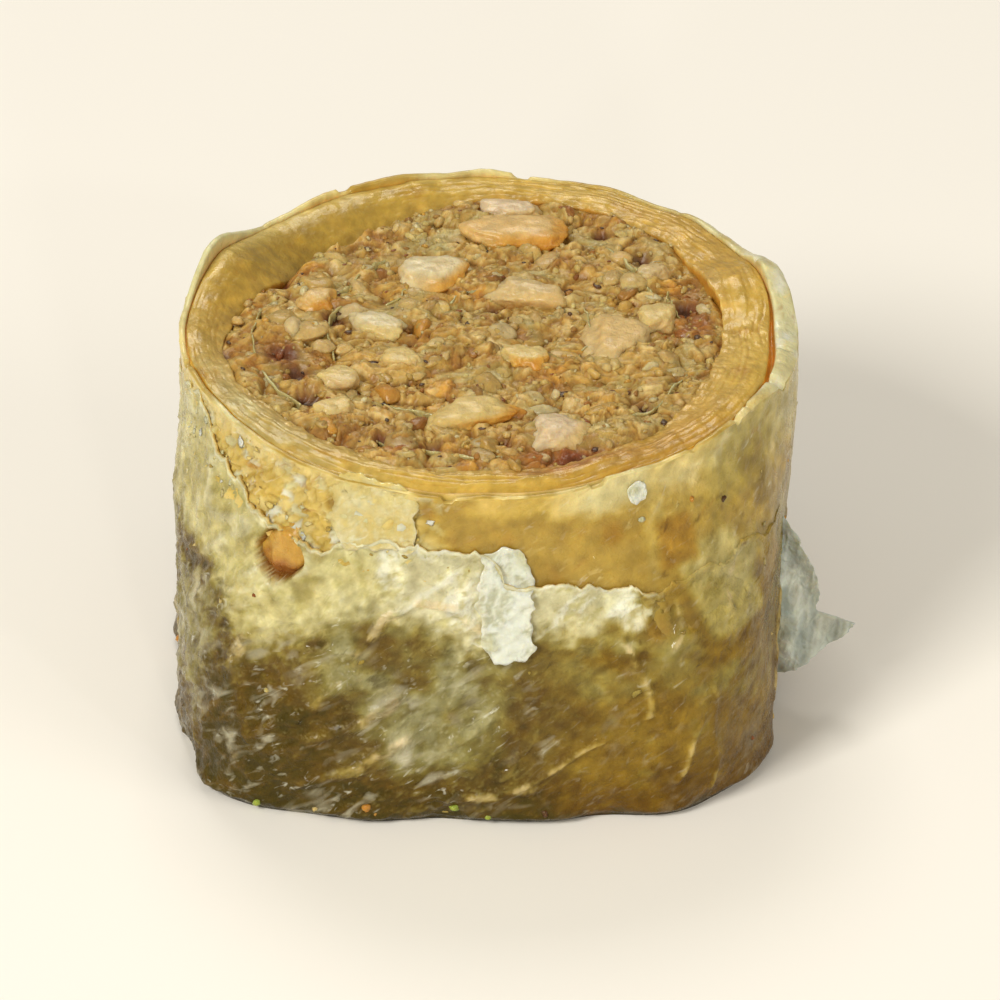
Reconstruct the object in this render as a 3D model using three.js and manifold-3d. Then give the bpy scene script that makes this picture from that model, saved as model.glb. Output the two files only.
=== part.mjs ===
// Walnut sarma baklava: one thick slice of a phyllo roll, standing on its cut end.
// Millimetres, +Z up, origin in the middle of the base. The front of the piece faces -Y.
// Angles go round the roll in degrees: 0 is the right side, 90 the back, -90 the front.
import * as THREE from 'three';
import { mergeVertices } from 'three/addons/utils/BufferGeometryUtils.js';
import Module from 'manifold-3d';

const wasm = await Module();
wasm.setup();

// The roll: height of the cut face and how far each side reaches from the middle
const cutHeight = 25;
const rightReach = 21.2;
const leftReach = 20.9;
const frontReach = 20.3;
const backReach = 20.3;

// A squareness of 2 is an ellipse; the foot of the roll is pressed nearly square
const rimSquareness = 1.92;
const footSquareness = 4.6;

// The foot of the front slumps forward and the foot of the right side draws in
const frontSlump = 2.1;
const rightTaper = 1.5;
const footRounding = 0.55;
const sideLump = 0.5;
const sideWrinkle = 0.34;
const sideHeights = [0.6, 2.8, 5.6, 8.4, 11.2, 14, 17, 20, 22.8];

// The rolled sheets between the outside and the nuts, with two grooves that part them at the cut
const wallThickness = 3;
const wallUnevenness = 0.25;
const rightWall = { angle: 0, spread: 70, extra: 2.5 };
const backLeftWall = { angle: 138, spread: 52, extra: 2.4 };
const layerGrooveDepth = 0.45;
const layerGrooves = [0.26, 0.6];
const layerCrests = [0.4, 0.76];
const rimRipple = 0.22;
const innerEdgeDrop = 0.35;
const fillingGap = 0.35;

// The outermost leaf, parted from the roll all round and standing loose on the right
const leafThickness = 0.8;
const leafEdgeRounding = 0.35;
const leafGap = { width: 0.3, depth: 0.4 };
const looseLeaf = { angle: -6, spread: 48, thicker: 0.35, wider: 0.75, deeper: 4.6 };

// Two corners of the outermost leaf stand above the cut face
const leafPeaks = [
  { angle: 156, spread: 17, lift: 1.9 },
  { angle: 110, spread: 48, lift: 0.7 },
  { angle: 18, spread: 15, lift: 1.6 },
  { angle: -28, spread: 30, lift: 0.45 },
];

// Mesh fineness: columns round the wrap, and cells along each side of the filling's top
const wrapColumns = 100;
const fillingCells = 25;

const colours = {
  phyllo: new THREE.Color().setRGB(0.8, 0.68, 0.4, THREE.SRGBColorSpace),
  walnut: new THREE.Color().setRGB(0.72, 0.58, 0.37, THREE.SRGBColorSpace),
};

const degrees = (value) => (value * Math.PI) / 180;
const clamp = (value, low = 0, high = 1) => Math.min(high, Math.max(low, value));
const mix = (a, b, share) => a + (b - a) * share;
const smooth = (share) => share * share * (3 - 2 * share);

// A smooth hill of height 1 at a given angle, gone one spread away from it
function hill(angle, centre, spread) {
  const turn = ((((angle - degrees(centre)) / Math.PI) % 2) + 3) % 2 - 1;
  return smooth(clamp(1 - (Math.abs(turn) * 180) / spread));
}

// A seeded random number from 0 to 1 for each point of a whole-number lattice
function latticeValue(i, j, k) {
  let h = Math.imul(i + 71, 374761393) ^ Math.imul(j + 37, 668265263) ^ Math.imul(k + 11, 1442695041);
  h = Math.imul(h ^ (h >>> 13), 1274126177);
  return ((h ^ (h >>> 16)) >>> 0) / 4294967296;
}

// Smooth uneven relief from -1 to 1: lattice values blended between their eight corners
function unevenness(x, y, z) {
  const i = Math.floor(x);
  const j = Math.floor(y);
  const k = Math.floor(z);
  const u = smooth(x - i);
  const v = smooth(y - j);
  const w = smooth(z - k);
  const edge = (dj, dk) => mix(latticeValue(i, j + dj, k + dk), latticeValue(i + 1, j + dj, k + dk), u);
  return mix(mix(edge(0, 0), edge(1, 0), v), mix(edge(0, 1), edge(1, 1), v), w) * 2 - 1;
}

// Distance from the middle to the outside of the roll at an angle and a height
function sideRadius(angle, z) {
  const rise = smooth(clamp(z / cutHeight));
  const squareness = mix(footSquareness, rimSquareness, rise);
  const along = Math.cos(angle);
  const across = Math.sin(angle);
  const reachX = along > 0 ? rightReach - rightTaper * (1 - rise) : leftReach;
  const reachY = across > 0 ? backReach : frontReach + frontSlump * (1 - rise);
  const share = Math.abs(along / reachX) ** squareness + Math.abs(across / reachY) ** squareness;
  const lump = sideLump * unevenness(along * 1.7 + 4, across * 1.7, z / 11);
  const wrinkle = sideWrinkle * unevenness(along * 6, across * 6 + 9, z / 5);
  return share ** (-1 / squareness) + lump + wrinkle * (1 - 0.6 * rise);
}

// Unevenness that runs round the roll without a seam; waves is about how many pass in a quarter turn
function roundUnevenness(angle, waves, seed) {
  return unevenness(Math.cos(angle) * waves, Math.sin(angle) * waves, seed);
}

// Thickness of all the rolled sheets at an angle
function wallAt(angle) {
  const right = rightWall.extra * hill(angle, rightWall.angle, rightWall.spread);
  const backLeft = backLeftWall.extra * hill(angle, backLeftWall.angle, backLeftWall.spread);
  return wallThickness + right + backLeft + wallUnevenness * roundUnevenness(angle, 3, 2);
}

// The wall's inner face runs straight from the base to the cut face
function innerRadius(angle, z) {
  const share = clamp(z / cutHeight);
  return mix(sideRadius(angle, 0), sideRadius(angle, cutHeight), share) - wallAt(angle);
}

// Point at a distance from the middle, an angle and a height
function around(radius, angle, z) {
  return [radius * Math.cos(angle), radius * Math.sin(angle), z];
}

// A geometry from a list of points and a list of corner triples
function geometryFrom(points, corners) {
  const geometry = new THREE.BufferGeometry();
  geometry.setAttribute('position', new THREE.Float32BufferAttribute(points.flat(), 3));
  geometry.setIndex(corners);
  return geometry;
}

// A closed ring-shaped body: a closed profile, given for each column, carried round the middle
function ringGeometry(columns, profileAt) {
  const points = [];
  const corners = [];
  let rows = 0;
  for (let i = 0; i < columns; i += 1) {
    const profile = profileAt((i / columns) * Math.PI * 2);
    rows = profile.length;
    points.push(...profile);
  }
  for (let i = 0; i < columns; i += 1) {
    for (let j = 0; j < rows; j += 1) {
      const a = i * rows + j;
      const b = ((i + 1) % columns) * rows + j;
      const c = ((i + 1) % columns) * rows + ((j + 1) % rows);
      const d = i * rows + ((j + 1) % rows);
      corners.push(a, b, c, a, c, d);
    }
  }
  return geometryFrom(points, corners);
}

// A closed slab between an outer and an inner grid of points, both given for u and v from 0 to 1
function slabGeometry(columns, rows, outerAt, innerAt) {
  const points = [];
  const corners = [];
  for (const pointAt of [outerAt, innerAt]) {
    for (let j = 0; j <= rows; j += 1) {
      for (let i = 0; i <= columns; i += 1) {
        points.push(pointAt(i / columns, j / rows));
      }
    }
  }
  const layer = (columns + 1) * (rows + 1);
  const at = (i, j, side) => side * layer + j * (columns + 1) + i;
  const quad = (a, b, c, d) => corners.push(a, b, c, a, c, d);
  for (let j = 0; j < rows; j += 1) {
    for (let i = 0; i < columns; i += 1) {
      quad(at(i, j, 0), at(i + 1, j, 0), at(i + 1, j + 1, 0), at(i, j + 1, 0));
      quad(at(i, j, 1), at(i, j + 1, 1), at(i + 1, j + 1, 1), at(i + 1, j, 1));
    }
  }
  for (let i = 0; i < columns; i += 1) {
    quad(at(i, 0, 1), at(i + 1, 0, 1), at(i + 1, 0, 0), at(i, 0, 0));
    quad(at(i, rows, 0), at(i + 1, rows, 0), at(i + 1, rows, 1), at(i, rows, 1));
  }
  for (let j = 0; j < rows; j += 1) {
    quad(at(0, j, 0), at(0, j + 1, 0), at(0, j + 1, 1), at(0, j, 1));
    quad(at(columns, j, 1), at(columns, j + 1, 1), at(columns, j + 1, 0), at(columns, j, 0));
  }
  return geometryFrom(points, corners);
}

// Solids for cutting and joining, from closed geometries and back
function solidFrom(geometry) {
  const bare = geometry.clone();
  bare.deleteAttribute('normal');
  bare.deleteAttribute('uv');
  const merged = mergeVertices(bare, 1e-4);
  const vertProperties = new Float32Array(merged.attributes.position.array);
  const triVerts = new Uint32Array(merged.index.array);
  return new wasm.Manifold(new wasm.Mesh({ numProp: 3, vertProperties, triVerts }));
}

// The largest shell alone: a hollow that joining has sealed is filled, and a loose scrap is dropped
function mainShell(solid) {
  const shells = solid.decompose();
  return shells.reduce((best, shell) => (shell.volume() > best.volume() ? shell : best));
}

function geometryOf(solid) {
  const mesh = mainShell(solid).getMesh();
  const geometry = new THREE.BufferGeometry();
  geometry.setAttribute('position', new THREE.BufferAttribute(mesh.vertProperties, 3));
  geometry.setIndex(new THREE.BufferAttribute(mesh.triVerts, 1));
  geometry.computeVertexNormals();
  return geometry;
}

// Rolled sheets: up the outside, over the outermost leaf and the ringed layers, down the inside
function rollProfile(angle) {
  const lift = leafPeaks.reduce((sum, peak) => sum + peak.lift * hill(angle, peak.angle, peak.spread), 0);
  const ripple = rimRipple * roundUnevenness(angle, 7, 5);
  const looseness = hill(angle, looseLeaf.angle, looseLeaf.spread);
  const leafTop = cutHeight + lift + ripple;
  const layersTop = cutHeight + (lift + ripple) / 2;
  const outside = sideRadius(angle, cutHeight);
  const inside = innerRadius(angle, cutHeight);
  const leafInside = outside - leafThickness - looseLeaf.thicker * looseness;
  const gapWidth = leafGap.width + looseLeaf.wider * looseness;
  const gapBottom = layersTop - leafGap.depth - looseLeaf.deeper * looseness;
  const layersOutside = leafInside - gapWidth;
  const grooveBottom = layersTop - layerGrooveDepth * (1 + 0.4 * roundUnevenness(angle, 5, 8));
  const profile = [around(sideRadius(angle, 0) - footRounding, angle, 0)];
  for (const z of sideHeights) {
    profile.push(around(sideRadius(angle, z), angle, z));
  }
  profile.push(around(outside, angle, leafTop - leafEdgeRounding));
  profile.push(around(outside - leafEdgeRounding, angle, leafTop));
  profile.push(around(leafInside, angle, leafTop - leafEdgeRounding / 2));
  profile.push(around(leafInside - gapWidth / 2, angle, gapBottom));
  profile.push(around(layersOutside, angle, layersTop));
  for (const [i, share] of layerGrooves.entries()) {
    profile.push(around(mix(layersOutside, inside, share), angle, grooveBottom));
    profile.push(around(mix(layersOutside, inside, layerCrests[i]), angle, layersTop));
  }
  profile.push(around(inside, angle, cutHeight - innerEdgeDrop));
  profile.push(around(innerRadius(angle, 0), angle, 0));
  return profile;
}

// A torn leaf stuck to the side: ragged along its top and bottom, narrower at its ends
const leafRoot = 0.45;
const leafCell = { turn: 4.6, height: 4 };

function tornLeaf({ from, to, low, high, lift, ragged, seed }) {
  const columns = Math.max(3, Math.round((to - from) / leafCell.turn));
  const rows = Math.max(2, Math.round((high - low) / leafCell.height));
  const place = (u, v, offset) => {
    const angle = degrees(mix(from, to, u));
    const taper = mix(0.45, 1, smooth(clamp(Math.min(u, 1 - u) * 6)));
    const bottom = low + ragged * unevenness(u * columns * 0.6, seed, 0.5);
    const top = high + ragged * unevenness(u * columns * 0.6, seed + 5, 0.5);
    const z = mix(bottom, top, 0.5 + (v - 0.5) * taper);
    return around(sideRadius(angle, z) + offset, angle, z);
  };
  const wavyLift = (u, v) => lift * (1 + 0.45 * unevenness(u * columns * 0.5, v * rows, seed + 9));
  const outerAt = (u, v) => place(u, v, wavyLift(u, v));
  const innerAt = (u, v) => place(u, v, -leafRoot);
  return slabGeometry(columns, rows, outerAt, innerAt);
}

// A dry shard of leaf that sticks out of the right side near the foot, with a hooked tip.
// Its outline is given as reach past the side and height.
const shard = { rootX: 18.3, angle: -21, thickness: 0.55, buried: 1.2, curl: 0.35 };
const shardEdge = new THREE.SplineCurve([
  new THREE.Vector2(0.2, 2.2),
  new THREE.Vector2(2.2, 3),
  new THREE.Vector2(4.5, 4.9),
  new THREE.Vector2(5.3, 6.4),
  new THREE.Vector2(2.6, 7.7),
  new THREE.Vector2(2.5, 9.6),
  new THREE.Vector2(1.3, 12.6),
  new THREE.Vector2(0.2, 15.2),
]);

function shardGeometry() {
  const rootY = shard.rootX * Math.tan(degrees(shard.angle));
  const place = (u, v, side) => {
    const edge = shardEdge.getPoint(v);
    const reach = u * (edge.x + shard.buried);
    const curl = shard.curl * Math.sin(reach * 1.1 + edge.y * 0.5);
    return [shard.rootX + reach, rootY + curl + (side * shard.thickness) / 2, edge.y];
  };
  return slabGeometry(5, 16, (u, v) => place(u, v, -1), (u, v) => place(u, v, 1));
}

// A lump of nut: a rough ball, stretched, turned and sliced flat where the knife passed
function nutGeometry({ x, y, z, length, width, height, turn = 0, sliceAt = Infinity, fine = 1, seed = 0 }) {
  const ball = new THREE.IcosahedronGeometry(1, fine);
  const position = ball.attributes.position;
  const point = new THREE.Vector3();
  for (let i = 0; i < position.count; i += 1) {
    point.fromBufferAttribute(position, i);
    const dent = unevenness(point.x * 1.6 + seed * 3.1, point.y * 1.6, point.z * 1.6 + seed);
    point.multiplyScalar(1 + 0.17 * dent);
    point.set((point.x * length) / 2, (point.y * width) / 2, (point.z * height) / 2);
    point.applyAxisAngle(new THREE.Vector3(0, 0, 1), degrees(turn));
    position.setXYZ(i, point.x + x, point.y + y, Math.min(point.z + z, sliceAt));
  }
  return ball;
}

// Leaves torn from the outside, from the front round to the back
const tornLeaves = [
  { from: -163, to: -97, low: 12.6, high: 21.2, lift: 0.6, ragged: 1.2, seed: 1 },
  { from: -104, to: -58, low: 13.4, high: 20.2, lift: 0.5, ragged: 1, seed: 4 },
  { from: -90, to: -80, low: 12.2, high: 20.6, lift: 1, ragged: 0.5, seed: 7 },
  { from: -66, to: -8, low: 16.4, high: 22.6, lift: 0.4, ragged: 1.3, seed: 12 },
  { from: -3, to: 58, low: 9.5, high: 20.8, lift: 0.55, ragged: 1.5, seed: 15 },
  { from: 50, to: 118, low: 12.8, high: 21.8, lift: 0.5, ragged: 1.3, seed: 18 },
  { from: 92, to: 128, low: 5.2, high: 13.4, lift: 0.45, ragged: 1, seed: 21 },
  { from: 128, to: 190, low: 10.6, high: 21.4, lift: 0.6, ragged: 1.4, seed: 25 },
  { from: -62, to: -34, low: 3.4, high: 8.4, lift: 0.4, ragged: 0.8, seed: 28 },
];

// A nut shows through a hole in the front leaf
const windowNut = { angle: -129, z: 17, size: 2.9, holeSize: 3.9 };

function phylloWrap() {
  let leaves = solidFrom(tornLeaf(tornLeaves[0]));
  for (const leaf of tornLeaves.slice(1)) {
    leaves = leaves.add(solidFrom(tornLeaf(leaf)));
  }
  const holeAngle = degrees(windowNut.angle);
  const [x, y, z] = around(sideRadius(holeAngle, windowNut.z), holeAngle, windowNut.z);
  const { size, holeSize } = windowNut;
  const hole = nutGeometry({ x, y, z, length: holeSize, width: holeSize, height: holeSize, seed: 2 });
  const nut = nutGeometry({ x, y, z, length: size, width: size, height: size * 1.1, seed: 6 });
  const roll = solidFrom(ringGeometry(wrapColumns, rollProfile));
  return roll
    .add(leaves.subtract(solidFrom(hole)))
    .add(solidFrom(nut))
    .add(solidFrom(shardGeometry()));
}

// Outside of the nut filling, clear of the wall all round
function fillingRadius(angle, z) {
  return innerRadius(angle, z) - fillingGap;
}

// Square cells laid out as a disc: each square ring of cells becomes a round one
function discPlace(u, v) {
  const across = u * 2 - 1;
  const along = v * 2 - 1;
  const ring = Math.max(Math.abs(across), Math.abs(along));
  if (ring === 0) {
    return { ring, angle: 0 };
  }
  const steep = Math.abs(along) > Math.abs(across);
  const turn = steep ? 2 * Math.sign(along) - across / along : along / across + (across < 0 ? 4 : 0);
  return { ring, angle: (turn * Math.PI) / 4 };
}

// Paste of fine walnut between the nuts: rough, and sunk a little below the rim
const paste = { sunk: 0.55, swell: 0.3, roughness: 0.42 };

function pasteHeight(x, y) {
  const swell = paste.swell * unevenness(x / 4.5, y / 3, 1);
  const rough = paste.roughness * unevenness(x / 1.7, y / 1.3, 6);
  return cutHeight - paste.sunk + swell + rough;
}

// The paste: rough top of square cells, straight sides, and a flat base whose middle is one triangle
function pasteGeometry() {
  const cells = fillingCells;
  const points = [];
  const corners = [];
  const at = (i, j) => j * (cells + 1) + i;
  for (let j = 0; j <= cells; j += 1) {
    for (let i = 0; i <= cells; i += 1) {
      const { ring, angle } = discPlace(i / cells, j / cells);
      const [x, y] = around(ring * fillingRadius(angle, cutHeight), angle, 0);
      points.push([x, y, pasteHeight(x, y)]);
    }
  }
  for (let j = 0; j < cells; j += 1) {
    for (let i = 0; i < cells; i += 1) {
      corners.push(at(i, j), at(i + 1, j), at(i + 1, j + 1), at(i, j), at(i + 1, j + 1), at(i, j + 1));
    }
  }
  const rim = [];
  for (let i = 0; i < cells; i += 1) {
    rim[i] = at(i, 0);
    rim[cells + i] = at(cells, i);
    rim[2 * cells + i] = at(cells - i, cells);
    rim[3 * cells + i] = at(0, cells - i);
  }
  const foot = points.length;
  const rimStart = degrees(225);
  for (let e = 0; e < rim.length; e += 1) {
    const angle = rimStart + (e / rim.length) * Math.PI * 2;
    points.push(around(fillingRadius(angle, 0), angle, 0));
  }
  const middle = points.length;
  const middleReach = 8;
  for (const third of [0, 1, 2]) {
    points.push(around(middleReach, rimStart + degrees(60 + 120 * third), 0));
  }
  corners.push(middle, middle + 2, middle + 1);
  for (let e = 0; e < rim.length; e += 1) {
    const next = (e + 1) % rim.length;
    const nearest = middle + Math.floor((e * 3) / rim.length);
    const following = middle + Math.floor((next * 3) / rim.length);
    corners.push(rim[e], foot + e, foot + next, rim[e], foot + next, rim[next]);
    corners.push(nearest, foot + next, foot + e);
    if (following !== nearest) {
      corners.push(nearest, following, foot + next);
    }
  }
  return geometryFrom(points, corners);
}

// The large nut pieces on the cut face, largest first
const largeNuts = [
  { x: 2.2, y: 12.9, length: 7.4, width: 4.2, turn: -5 },
  { x: -0.5, y: -10.4, length: 7.4, width: 3.8, turn: 16 },
  { x: 8.6, y: -0.9, length: 4.8, width: 6.6, turn: 0 },
  { x: -3.3, y: 7.5, length: 4.7, width: 4.6, turn: 12 },
  { x: 2.6, y: 5.3, length: 5.8, width: 3.6, turn: -8 },
  { x: 4.8, y: -12.6, length: 4.8, width: 4.2, turn: 20 },
  { x: 1.9, y: 15.5, length: 4.8, width: 2.3, turn: 0 },
  { x: -7.2, y: 0.8, length: 4.4, width: 2.3, turn: -38 },
  { x: 11.6, y: 1.5, length: 3.4, width: 2.6, turn: 15 },
  { x: 2.7, y: -3.1, length: 3.4, width: 2.8, turn: -20 },
  { x: -5.6, y: -3.5, length: 3.4, width: 2.3, turn: -35 },
  { x: -9.9, y: -9.7, length: 3, width: 2.5, turn: 30 },
  { x: -9.9, y: -5.6, length: 3.2, width: 2.2, turn: -15 },
  { x: -11.5, y: 3.9, length: 3.4, width: 2.4, turn: 10 },
  { x: 11.5, y: 7.4, length: 3, width: 2.4, turn: 60 },
];

// Small bits of nut fill the rest of the face in a seeded sunflower pattern
const smallNuts = { count: 76, shortest: 1.6, longest: 2.8, height: 1.7, proud: 0.1 };
const largeNutHeight = 2.4;
const goldenAngle = degrees(137.508);

function nutList() {
  const nuts = largeNuts.map((nut, i) => ({
    ...nut,
    height: largeNutHeight,
    z: cutHeight - innerEdgeDrop,
    sliceAt: cutHeight + 0.3 + 0.3 * latticeValue(i, 3, 9),
    seed: i,
  }));
  for (let k = 0; k < smallNuts.count; k += 1) {
    const draw = (n) => latticeValue(k, n, 40);
    const length = mix(smallNuts.shortest, smallNuts.longest, draw(0) ** 1.5);
    const width = length * mix(0.55, 0.9, draw(2));
    const angle = k * goldenAngle + 0.4 * (draw(1) - 0.5);
    const room = fillingRadius(angle, cutHeight) - length * 0.75;
    const [x, y] = around(room * Math.sqrt((k + 0.5) / smallNuts.count), angle, 0);
    const covers = (nut) => Math.hypot(nut.x - x, nut.y - y) < (nut.length + nut.width) * 0.24;
    if (!largeNuts.some(covers)) {
      const z = pasteHeight(x, y) + smallNuts.proud;
      const { height } = smallNuts;
      nuts.push({ x, y, z, length, width, height, turn: 180 * draw(3), fine: 0, seed: k + 20 });
    }
  }
  return nuts;
}

function walnutFilling() {
  let filling = solidFrom(pasteGeometry());
  for (const nut of nutList()) {
    filling = filling.add(solidFrom(nutGeometry(nut)));
  }
  return filling;
}

function foodMesh(name, solid, colour, roughness) {
  const material = new THREE.MeshStandardMaterial({ color: colour, roughness, metalness: 0 });
  const mesh = new THREE.Mesh(geometryOf(solid), material);
  mesh.name = name;
  return mesh;
}

const piece = new THREE.Group();
piece.add(foodMesh('phyllo_wrap', phylloWrap(), colours.phyllo, 0.35));
piece.add(foodMesh('walnut_filling', walnutFilling(), colours.walnut, 0.6));

export default piece;
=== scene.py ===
import math

import bpy
import numpy as np
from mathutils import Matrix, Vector


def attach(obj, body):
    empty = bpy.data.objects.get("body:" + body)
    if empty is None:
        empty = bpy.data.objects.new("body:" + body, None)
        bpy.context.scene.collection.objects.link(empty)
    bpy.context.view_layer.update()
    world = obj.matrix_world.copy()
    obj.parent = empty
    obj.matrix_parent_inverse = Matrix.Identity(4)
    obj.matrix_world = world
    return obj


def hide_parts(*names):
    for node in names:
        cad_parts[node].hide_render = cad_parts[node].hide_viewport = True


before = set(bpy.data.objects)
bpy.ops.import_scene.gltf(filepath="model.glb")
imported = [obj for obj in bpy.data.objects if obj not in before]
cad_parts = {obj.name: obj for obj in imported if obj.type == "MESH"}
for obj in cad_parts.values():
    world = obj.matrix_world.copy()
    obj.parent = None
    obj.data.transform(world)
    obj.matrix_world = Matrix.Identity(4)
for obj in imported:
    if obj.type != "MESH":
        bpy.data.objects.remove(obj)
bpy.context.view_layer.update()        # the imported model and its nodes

# Walnut sarma baklava: one slice of a rolled phyllo pastry on its cut end.
# Lengths are millimetres until a mesh is made. Angles go round the roll: 0 right, 90 back, -90 front.
mm = 0.001
fullTurn = 2 * math.pi
goldenTurn = math.radians(137.508)      # from one seed of a sunflower to the next
print("walnut sarma baklava: frame loaded")

# The form of the roll, the same as in the solids
roll = {
    "cutHeight": 25.0,
    "rightReach": 21.2,
    "leftReach": 20.9,
    "frontReach": 20.3,
    "backReach": 20.3,
    "rimSquareness": 1.92,      # 2 is an ellipse
    "footSquareness": 4.6,      # nearly square
    "frontSlump": 2.1,
    "rightTaper": 1.5,
    "footRounding": 0.55,
    "lump": 0.5,
    "wrinkle": 0.34,
    "wall": 3.0,
    "wallUnevenness": 0.25,
    "rightWall": (0, 70, 2.5),          # angle, spread, extra thickness
    "backLeftWall": (138, 52, 2.4),
    "rimRipple": 0.22,
    "leafPeaks": ((156, 17, 1.9), (110, 48, 0.7), (18, 15, 1.6), (-28, 30, 0.45)),   # angle, spread, lift
    "leafThickness": 0.4,
    "leafGap": (0.12, 0.2),             # width, depth all round
    "looseLeaf": (4, 48, 1.15),         # angle, spread, thicker
    "orangeGap": (-6, 26, 0.4, 0.7),    # angle, spread, wider, deeper
    "girth": 20.8,                      # mean radius, for lengths along the side
    # the skin starts this far inside the solids', as relief is added to it
    "clearance": 0.12,
    "insideOverlap": 0.45,              # the filling reaches this far into the wall
}
cut = roll["cutHeight"]

# Colours as seen in the light, 0 to 255
colours = {
    # the whitest leaf tone, also laid on as painted glints and highlights
    "leafWhiteAndGlint": (218, 216, 196),
    "leafCream": (206, 200, 156),
    "leafYellow": (220, 200, 138),
    "leafGreen": (166, 156, 100),
    "leafPale": (184, 172, 120),
    # painted highlight for the folds' ridges
    "foldHighlight": (206, 186, 148),
    "film": (173, 146, 82),
    "amber": (156, 130, 66),
    "gold": (218, 190, 114),
    "spot": (152, 117, 44),
    "haze": (156, 153, 122),
    "wetOlive": (112, 96, 44),
    "oliveGold": (132, 109, 42),
    "goldDark": (110, 88, 16),
    "oliveDark": (90, 75, 14),
    # the dark crease colour on the next line is painted shade in the creases' valleys
    "crackAndCreaseShade": (74, 58, 10),
    # a silvery painted glint colour for the wet sheet
    "glintSilver": (178, 172, 148),
    "ring": (194, 162, 88),
    "ringPale": (212, 184, 122),
    "ringDark": (158, 114, 50),
    "ringGrey": (170, 152, 102),
    "gapAmber": (230, 172, 78),
    "flap": (200, 176, 116),
    # painted shade for the hole over the nut
    "holeShade": (126, 90, 36),
}


def linear(colour):      # seen colour to the linear values that shaders use
    c = np.asarray(colour, float) / 255
    return np.where(c <= 0.04045, c / 12.92, ((c + 0.055) / 1.055) ** 2.4)


def clamp(value, low=0.0, high=1.0):
    return np.minimum(high, np.maximum(low, value))


def painted(colour):
    # seen colour to base colour: less the sheen, which takes at most half of it, over the gain
    seen = linear(colour)
    return clamp((seen - np.minimum(studio["sheen"], 0.5 * seen)) / studio["gain"], 0.002, 0.9)


def mixed(a, b, share):
    return a + (b - a) * share


def smooth(share):       # 0 to 1 with a soft start and end
    share = clamp(share)
    return share * share * (3 - 2 * share)


def band(value, low, high, soft):      # 1 between low and high, with soft ends
    return smooth((value - low) / soft + 0.5) * smooth((high - value) / soft + 0.5)


def spotAt(x, y, centreX, centreY, radius):      # 1 in the middle of a round spot, gone outside it
    return np.exp(-(((x - centreX) ** 2 + (y - centreY) ** 2) / radius ** 2) ** 1.5)


def spotsAt(x, y, table):
    # rows of x, y, radius, drawn out in x and in y, strength: all their spots together
    return sum(strength * spotAt(x / wide, y / tall, spotX / wide, spotY / tall, radius)
               for spotX, spotY, radius, wide, tall, strength in table)


def latticeValue(i, j, k):      # a seeded random value for each point of a whole-number lattice
    i, j, k = (np.asarray(a).astype(np.int64) for a in (i, j, k))
    h = (((i + 71) * 374761393) ^ ((j + 37) * 668265263) ^ ((k + 11) * 1442695041)) & 0xffffffff
    h = ((h ^ (h >> 13)) * 1274126177) & 0xffffffff
    return (h ^ (h >> 16)) / 4294967296


def unevenness(x, y, z):      # lattice values blended between their eight corners, -1 to 1
    x, y, z = np.broadcast_arrays(np.asarray(x, float), y, z)
    i, j, k = np.floor(x), np.floor(y), np.floor(z)
    u, v, w = smooth(x - i), smooth(y - j), smooth(z - k)

    def edge(dj, dk):
        return mixed(latticeValue(i, j + dj, k + dk), latticeValue(i + 1, j + dj, k + dk), u)

    return mixed(mixed(edge(0, 0), edge(1, 0), v), mixed(edge(0, 1), edge(1, 1), v), w) * 2 - 1


def fractal(x, y, z, octaves=3, gain=0.5):      # unevenness at doubling fineness, summed, about -1 to 1
    total, weight, height = 0.0, 0.0, 1.0
    for n in range(octaves):
        finer = 2 ** n
        total = total + height * unevenness(x * finer + 17 * n, y * finer + 5 * n, z * finer - 9 * n)
        weight += height
        height *= gain
    return total / weight


def creased(x, y, z, octaves=3):      # sharp ridges where bent unevenness crosses zero, 0 to 1
    bendX = 0.7 * unevenness(x * 0.6 + 31, y * 0.6, z * 0.6)
    bendZ = 0.7 * unevenness(x * 0.6, y * 0.6 + 13, z * 0.6)
    total, weight, height = 0.0, 0.0, 1.0
    for n in range(octaves):
        finer = 1.9 ** n
        wave = unevenness((x + bendX) * finer + 7 * n, y * finer, (z + bendZ) * finer + 3 * n)
        total = total + height * (1 - np.abs(wave)) ** 3
        weight += height
        height *= 0.55
    return total / weight


def chipped(x, y, size, seed):
    # the plane cut into cells round jittered points, each a tilted chip: its height, the gaps, and a
    # shade for each
    gx, gy = x / size, y / size
    i0, j0 = np.floor(gx), np.floor(gy)
    first = np.full(gx.shape, 9.0)
    second = first.copy()
    cellI, cellJ, dx, dy = np.zeros((4, *gx.shape))
    for i, j in ((i0 + a, j0 + b) for a in (-1, 0, 1) for b in (-1, 0, 1)):
        awayX = gx - i - 0.1 - 0.8 * latticeValue(i, j, seed)
        awayY = gy - j - 0.1 - 0.8 * latticeValue(i, j, seed + 1)
        distance = np.hypot(awayX, awayY)
        nearer = distance < first
        second = np.where(nearer, first, np.minimum(second, distance))
        cellI, cellJ = np.where(nearer, i, cellI), np.where(nearer, j, cellJ)
        dx, dy = np.where(nearer, awayX, dx), np.where(nearer, awayY, dy)
        first = np.minimum(first, distance)
    lean = [latticeValue(cellI, cellJ, seed + n) - 0.5 for n in (2, 3, 4)]
    height = 1.2 * lean[0] + 1.3 * (lean[1] * dx + lean[2] * dy)
    return height, 1 - smooth((second - first) / 0.28), latticeValue(cellI, cellJ, seed + 5)


def hill(angle, centre, spread):      # a smooth hill of 1 at a given angle, gone one spread away
    turn = np.mod((angle - math.radians(centre)) / math.pi + 1, 2) - 1
    return smooth(1 - np.abs(turn) * 180 / spread)


def roundUnevenness(angle, waves, seed):      # unevenness that runs round the roll with no seam
    return unevenness(np.cos(angle) * waves, np.sin(angle) * waves, seed)


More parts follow.
